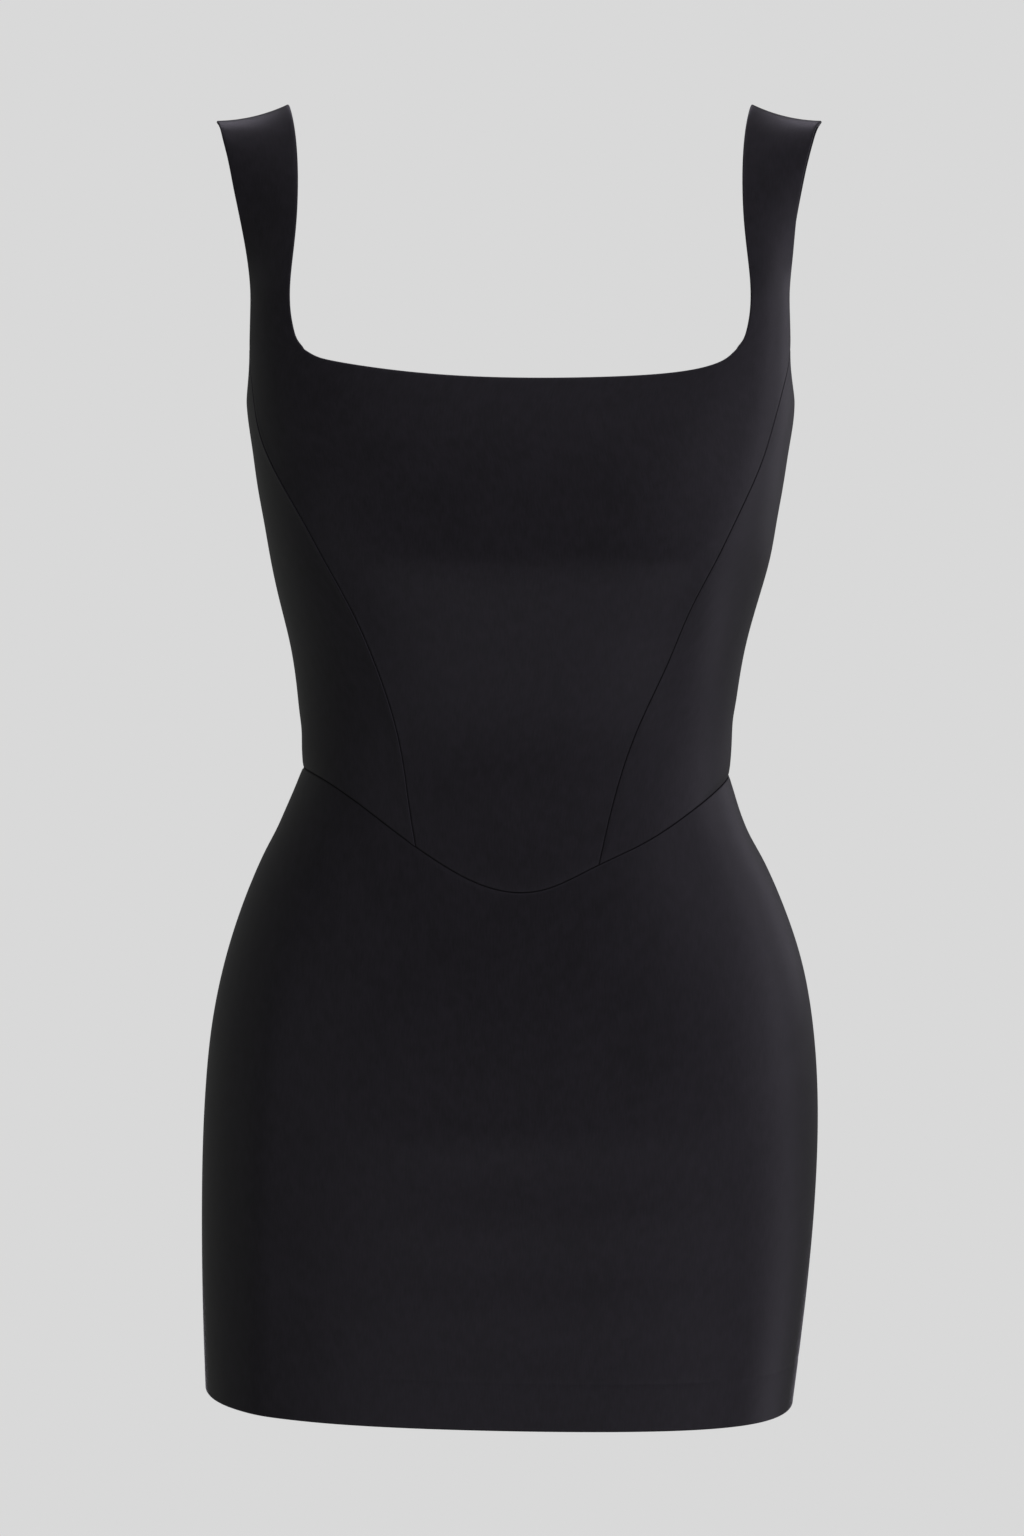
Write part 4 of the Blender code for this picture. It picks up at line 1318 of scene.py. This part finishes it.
# The black crepe: how far its layers are drawn out up the cloth, and how much each counts
PEBBLE_UP, SLUB_UP, MOTTLE_UP = 0.6, 0.14, 0.7
SLUB_DYE, MOTTLE_DYE, CLOUD_DYE = 0.45, 0.35, 0.2
DYE_RANGE = (0.32, 0.68)
PEBBLE_RELIEF, THREAD_RELIEF, SLUB_RELIEF = 0.5, 0.2, 0.3
CLOUD_ROUGHNESS, SLUB_ROUGHNESS, GROOVE_ROUGHNESS = 0.06, 0.05, 0.4
# How far the rims down in a seam are darkened by painted shade
PAINTED_GROOVE_SHADE = 0.9
# How far the edges that stand up are lightened by a painted highlight
PAINTED_HIGHLIGHT = 0.8
NAP_RANGE = (0.35, 0.85)  # from where the cloth is seen at a slant to where it is seen edge on


def black_crepe(paint, looks):
    """A smooth, matt satin crepe, dyed black with a hint of purple. Its threads are uneven."""
    place, across, up = paint.cut_place()
    pebble = paint.noise(paint.drawn_out(place, PEBBLE_UP), looks.crepe_grain)
    threads = (across / looks.thread_pitch).wave() * (up / looks.thread_pitch).wave()
    slub = paint.noise(paint.drawn_out(place, SLUB_UP), looks.slub_width)
    mottle = paint.noise(paint.drawn_out(place, MOTTLE_UP), looks.mottle_size)
    cloud = paint.noise(place, looks.cloud_size, 1.0)
    dye = (slub * SLUB_DYE + mottle * MOTTLE_DYE + cloud * CLOUD_DYE).between(*DYE_RANGE)
    # Painted shade: the base colour darkens on the rims down in a seam's groove, where shadow would
    # fall; those rims are also rougher.
    groove_shade = paint.mark("groove_shade")
    dyed = paint.mix(dye, opaque(looks.crepe_colour), opaque(looks.crepe_light_colour))
    seam_shaded = paint.mix(groove_shade * PAINTED_GROOVE_SHADE, dyed, opaque(looks.painted_seam_shade_colour))
    # Painted highlight: the base colour lightens on the edges that stand up.
    highlight = paint.mark("edge_highlight") * PAINTED_HIGHLIGHT
    rough = looks.crepe_roughness + (cloud - 0.5) * CLOUD_ROUGHNESS + (slub - 0.5) * SLUB_ROUGHNESS
    relief = pebble * PEBBLE_RELIEF + threads * THREAD_RELIEF + slub * SLUB_RELIEF
    cloth = {
        "Base Color": paint.mix(highlight, seam_shaded, opaque(looks.painted_highlight_colour)),
        "Roughness": rough + groove_shade * GROOVE_ROUGHNESS,
        "Normal": paint.bump(relief, looks.crepe_relief, 0.6),
        "Sheen Weight": looks.crepe_sheen,
        "Sheen Roughness": looks.crepe_sheen_roughness,
        "Sheen Tint": opaque(looks.crepe_sheen_colour),
    }
    satin = paint.principled({**cloth, "Specular IOR Level": looks.crepe_specular})
    matt = paint.principled({**cloth, "Specular IOR Level": 0.0})
    slant = paint.add("ShaderNodeLayerWeight", {}, {"Blend": 0.5}, "Facing")
    return paint.finish_between(slant.between(*NAP_RANGE) * looks.crepe_nap, satin, matt)


def zip_weave(paint, looks):
    """The zip's tape: a ribbed weave with a herringbone look."""
    _, across, up = paint.cut_place()
    ribs = ((across + up) / looks.tape_pitch).wave() * ((across - up) / looks.tape_pitch).wave()
    values = {
        "Base Color": paint.lighter(ribs, looks.tape_colour, 1.6),
        "Roughness": 0.6 + ribs * 0.1,
        "Normal": paint.bump(ribs, 0.0001, 0.5),
        "Sheen Weight": 0.2,
    }
    return paint.finish(paint.principled(values))


def nylon(paint, looks):
    """The zip coil's thread."""
    streaks = paint.noise(paint.place(), 0.001)
    values = {
        "Base Color": paint.lighter(streaks, looks.tape_colour, 2),
        "Roughness": 0.25 + streaks * 0.1,
    }
    return paint.finish(paint.principled(values))


def black_lacquer(paint, looks):
    """The slider's and the pull's enamel, a little rubbed."""
    place = paint.place()
    rub = paint.noise(place, 0.0015)
    peel = paint.noise(place, 0.0004)
    values = {
        "Base Color": paint.lighter(rub, looks.lacquer_colour, 1.8),
        "Roughness": looks.lacquer_roughness + rub * 0.12,
        "Normal": paint.bump(peel, 0.00002, 0.4),
        "Coat Weight": 0.6 - rub * 0.2,
        "Coat Roughness": 0.15,
    }
    return paint.finish(paint.principled(values))


def studio_floor(paint, studio):
    """Pale under the dress, and the backdrop's own grey farther out."""
    place = paint.place()
    out = paint.add("ShaderNodeVectorMath", {"operation": "LENGTH"}, {0: place}, "Value")
    far = out.between(studio.floor_fade, 2.5 * studio.floor_fade)
    speckle = paint.noise(place, 0.02)
    pale, full = opaque(studio.floor_colour, 0.94), opaque(studio.floor_colour)
    values = {
        "Base Color": paint.mix(speckle, pale, full),
        "Roughness": 0.8,
        "Emission Color": opaque(studio.backdrop_colour),
        "Emission Strength": studio.floor_glow,
    }
    backdrop_grey = paint.plain("ShaderNodeEmission", studio.backdrop_colour)
    return paint.finish_between(far, paint.principled(values), backdrop_grey)


def backdrop(studio):
    """An even grey all round to the camera, and dim to the cloth."""
    world = bpy.data.worlds.new("studio")
    bpy.context.scene.world = world
    paint = Paint(world)
    seen = paint.add("ShaderNodeLightPath", {}, {}, "Is Camera Ray")
    dim = paint.plain("ShaderNodeBackground", studio.fill_colour)
    shown = paint.plain("ShaderNodeBackground", studio.backdrop_colour)
    paint.finish_between(seen, dim, shown, "ShaderNodeOutputWorld")


def studio_light(studio, name, azimuth, elevation, width, height, power):
    """A soft rectangular light that faces the dress's middle."""
    light = bpy.data.lights.new(name, "AREA")
    light.shape = "RECTANGLE"
    light.size = width
    light.size_y = height
    light.energy = power * studio.brightness
    light.color = studio.light_colour
    turn = math.radians(azimuth)
    rise = math.radians(elevation)
    x, y = math.sin(turn) * math.cos(rise), -math.cos(turn) * math.cos(rise)
    away = Vector((x, y, math.sin(rise)))
    holder = in_scene(name, light)
    holder.location = away * studio.light_distance
    holder.location.z -= studio.aim_drop
    holder.rotation_euler = away.to_track_quat("Z", "Y").to_euler()


def floor(studio):
    mesh = bpy.data.meshes.new("floor")
    half = studio.floor_size / 2
    turns = 2 * np.pi * np.arange(FLOOR_SIDES) / FLOOR_SIDES
    points = np.stack([half * np.cos(turns), half * np.sin(turns), np.zeros(FLOOR_SIDES)], -1)
    mesh.from_pydata(points.tolist(), [], [list(range(FLOOR_SIDES))])
    mesh.materials.append(finish_of("floor", studio_floor, studio))
    built = in_scene("floor", mesh)
    built.location.z = -studio.floor_drop
    built.visible_diffuse = False
    built.visible_glossy = False
    built.visible_shadow = False


def camera(studio):
    data = bpy.data.cameras.new("camera")
    data.lens = studio.lens
    data.sensor_width = SENSOR_WIDTH
    data.clip_end = FARTHEST_SEEN
    place = Vector((studio.camera_aside, -studio.camera_distance, -studio.camera_drop))
    aim = Vector((studio.camera_aside, 0, -studio.aim_drop)) - place
    holder = in_scene("camera", data)
    holder.location = place
    holder.rotation_euler = aim.to_track_quat("-Z", "Y").to_euler()
    bpy.context.scene.camera = holder


def number(name, description, default, kind=bpy.props.FloatProperty, **limits):
    return kind(name=name, description=description, default=default, **limits)


def metres(*words):
    return number(*words, unit="LENGTH", precision=5)


def fraction(*words):
    """A number from 0 to 1."""
    return number(*words, min=0.0, max=1.0, subtype="FACTOR")


def colour(*words):
    return number(*words, bpy.props.FloatVectorProperty, min=0.0, max=1.0, subtype="COLOR")


class DressSizes(bpy.types.PropertyGroup):
    """The sizes that a maker would change."""

    cloth: metres("Cloth", "How thick the cloth is", 0.0015)
    seam_rounding: metres("Seam rounding", "How far in from a seam the cloth turns over", 0.0007)
    waist_rounding: metres("Waist rounding", "How far in the bodice turns over at its foot", 0.0008)
    skirt_roll: metres("Skirt roll", "How far the skirt swells beside the waist seam", 0.0004)
    side_lift: metres("Side lift", "How far the right side panel stands out at its seam", 0.0003)
    skirt_rounding: metres("Skirt rounding", "How far in the skirt turns over at the waist", 0.0013)
    waist_lift: metres("Waist lift", "How far the bodice's foot stands proud of the skirt", 0.0005)
    waist_lift_reach: metres("Waist lift reach", "How far up the bodice that fades", 0.004)
    hem_depth: metres("Hem depth", "How deep the hem is turned up", 0.027)
    hem_turning: metres("Hem turning", "How much thicker the cloth is at the hem", 0.0007)
    hem_mark: metres("Hem mark", "How far the hem's stitches draw the cloth in", 0.00015)
    hem_mark_width: metres("Hem mark width", "How wide that mark is", 0.0015)


class DressLooks(bpy.types.PropertyGroup):
    """The finishes."""

    crepe_colour: colour("Crepe", "The cloth's colour", (0.0100, 0.0090, 0.0116))
    crepe_light_colour: colour("Light crepe", "Where its dye took less", (0.0159, 0.0141, 0.0185))
    # Painted shade: the dark colour put on the rims down in a seam's groove.
    painted_seam_shade_colour: colour("Seam", "The cloth's colour down in a seam", (0.0015, 0.0014, 0.0017))
    # Painted highlight: the lighter colour put on the edges that stand up.
    painted_highlight_colour: colour("Edge shine", "Where pressing has polished an edge", (0.030, 0.027, 0.035))
    crepe_roughness: fraction("Crepe roughness", "How matt the cloth is", 0.42)
    crepe_specular: fraction("Crepe specular", "How strongly its threads reflect", 0.2)
    crepe_nap: fraction("Crepe nap", "How much its raised threads hide the satin at a slant", 0.3)
    crepe_sheen: fraction("Crepe sheen", "How much its fuzz lights up at the edges", 0.01)
    crepe_sheen_roughness: fraction("Crepe sheen roughness", "How broad that is", 0.35)
    crepe_sheen_colour: colour("Crepe sheen tint", "Its colour", (0.9, 0.82, 1.0))
    crepe_grain: metres("Crepe grain", "The size of the crepe's pebbles", 0.0005)
    thread_pitch: metres("Thread pitch", "From one thread to the next", 0.0003)
    crepe_relief: metres("Crepe relief", "How deep the grain is", 0.00006)
    slub_width: metres("Slub width", "How wide the uneven threads' streaks are", 0.0009)
    mottle_size: metres("Mottle size", "The size of the dye's small patches", 0.0055)
    cloud_size: metres("Clouding", "The size of the patches where the cloth's finish varies", 0.03)
    tape_colour: colour("Zip tape", "The zip tape's colour", (0.010, 0.010, 0.011))
    tape_pitch: metres("Tape ribs", "From one rib to the next", 0.0008)
    lacquer_colour: colour("Lacquer", "The slider's colour", (0.015, 0.015, 0.016))
    lacquer_roughness: fraction("Lacquer roughness", "How matt the slider is", 0.22)


class DressStudio(bpy.types.PropertyGroup):
    """The camera, the lights and the backdrop."""

    backdrop_colour: colour("Backdrop", "The backdrop's colour", (0.6939, 0.6939, 0.6939))
    floor_colour: colour("Floor", "Its colour, which evens out the lights", (0.78, 0.80, 0.76))
    floor_glow: fraction("Floor glow", "How far the floor is lit up to the backdrop's grey", 0.6)
    fill_colour: colour("Fill", "The surroundings' colour to the cloth", (0.184, 0.190, 0.177))
    light_colour: colour("Light colour", "The lights' colour", (0.89, 0.83, 1.0))
    brightness: number("Brightness", "What the lights' powers are multiplied by", 1.1)
    light_distance: metres("Light distance", "How far the lights are from the dress's middle", 2.6)
    floor_size: metres("Floor size", "How far across the floor is", 30.0)
    floor_drop: metres("Floor drop", "How far below the shoulders the floor is", 3.2)
    floor_fade: metres("Floor fade", "How far out the floor begins to fade into the backdrop", 0.6)
    lens: number("Lens", "The camera's focal length in millimetres", 104.0)
    camera_distance: metres("Camera distance", "How far in front of the shoulders it stands", 2.5)
    camera_aside: metres("Camera aside", "How far to the left it stands", -0.0045)
    camera_drop: metres("Camera drop", "How far below the shoulders it stands", 0.19)
    aim_drop: metres("Aim drop", "How far below the shoulders it aims", 0.370)


class Build:
    """What the operators share."""

    bl_options = {"REGISTER", "UNDO"}

    @staticmethod
    def cloth(scene):
        """The sizes, and the cloth's finish."""
        return scene.dress_sizes, finish_of("black_crepe", black_crepe, scene.dress_looks)


class DRESS_OT_front_panel(Build, bpy.types.Operator):
    """Builds the corset front with the fronts of both straps"""

    bl_idname = "dress.front_panel"
    bl_label = "Front panel"

    def execute(self, context):
        sizes, crepe = self.cloth(context.scene)
        straps = {side: Strap(side) for side in SIDES}
        front_centre_panel(sizes, straps, front_centre_feet(), crepe)
        return {"FINISHED"}


class DRESS_OT_side_panels(Build, bpy.types.Operator):
    """Builds the bodice's four side panels"""

    bl_idname = "dress.side_panels"
    bl_label = "Side panels"

    def execute(self, context):
        sizes, crepe = self.cloth(context.scene)
        for side, name in SIDES.items():
            feet = Feet(side)
            for half, edge, foot, corner in (
                ("front", front_edge(side), feet.front_side, CORNER),
                ("back", back_edge(side), feet.back_side, BACK_CORNER),
            ):
                side_panel(f"{half}_side_panel_{name}", sizes, edge, side, foot, corner, crepe)
        return {"FINISHED"}


class DRESS_OT_back_panels(Build, bpy.types.Operator):
    """Builds both halves of the back with the backs of the straps"""

    bl_idname = "dress.back_panels"
    bl_label = "Back panels"

    def execute(self, context):
        sizes, crepe = self.cloth(context.scene)
        for side, name in SIDES.items():
            back_panel(f"back_panel_{name}", sizes, side, Strap(side), Feet(side).back, crepe)
        return {"FINISHED"}


class DRESS_OT_skirt(Build, bpy.types.Operator):
    """Builds the skirt's front and both halves of its back"""

    bl_idname = "dress.skirt"
    bl_label = "Skirt"

    def execute(self, context):
        sizes, crepe = self.cloth(context.scene)
        feet = {side: Feet(side) for side in SIDES}
        front = [feet[-1].front_side[:0:-1], front_centre_feet(), feet[1].front_side[1:]]
        skirt_front(sizes, np.concatenate(front), crepe)
        for side, name in SIDES.items():
            back = np.concatenate([feet[side].back_side[::-1], feet[side].back[1:]])
            skirt_back(f"skirt_back_{name}", sizes, side, back, crepe)
        return {"FINISHED"}


class DRESS_OT_zip(Build, bpy.types.Operator):
    """Builds the zip's tapes, coil, slider and pull"""

    bl_idname = "dress.zip"
    bl_label = "Zip"

    def execute(self, context):
        sizes = context.scene.dress_sizes
        looks = context.scene.dress_looks
        for side in SIDES:
            zip_tape(side, sizes, finish_of("zip_weave", zip_weave, looks))
        zip_coil(sizes, finish_of("nylon", nylon, looks))
        lacquer = finish_of("black_lacquer", black_lacquer, looks)
        zip_slider(sizes, lacquer)
        zip_pull(lacquer)
        return {"FINISHED"}


class DRESS_OT_stage(Build, bpy.types.Operator):
    """Sets the floor, the backdrop, the lights and the camera"""

    bl_idname = "dress.stage"
    bl_label = "Stage"

    def execute(self, context):
        studio = context.scene.dress_studio
        floor(studio)
        backdrop(studio)
        for light in LIGHTS:
            studio_light(studio, *light)
        camera(studio)
        context.scene.view_settings.view_transform = "Standard"
        return {"FINISHED"}


class DRESS_PT_panel(bpy.types.Panel):
    """Lists the steps in order, with their sizes and finishes"""

    bl_idname = "DRESS_PT_panel"
    bl_label = "Bodycon dress"
    bl_space_type = "VIEW_3D"
    bl_region_type = "UI"
    bl_category = "Dress"

    def draw(self, context):
        for step in STEPS:
            self.layout.operator(step.bl_idname)
        for name in GROUPS:
            box = self.layout.box()
            group = getattr(context.scene, name)
            for setting in group.__annotations__:
                box.prop(group, setting)


STEPS = (
    DRESS_OT_front_panel,
    DRESS_OT_side_panels,
    DRESS_OT_back_panels,
    DRESS_OT_skirt,
    DRESS_OT_zip,
    DRESS_OT_stage,
)
GROUPS = {"dress_sizes": DressSizes, "dress_looks": DressLooks, "dress_studio": DressStudio}


def register():
    for kind in (*GROUPS.values(), *STEPS, DRESS_PT_panel):
        bpy.utils.register_class(kind)
    for name, group in GROUPS.items():
        setattr(bpy.types.Scene, name, bpy.props.PointerProperty(type=group))


def unregister():
    for name in GROUPS:
        delattr(bpy.types.Scene, name)
    for kind in (DRESS_PT_panel, *reversed(STEPS), *reversed(GROUPS.values())):
        bpy.utils.unregister_class(kind)


def main():
    register()
    for step in STEPS:
        group, operator = step.bl_idname.split(".")
        getattr(getattr(bpy.ops, group), operator)()


if __name__ == "__main__":
    main()
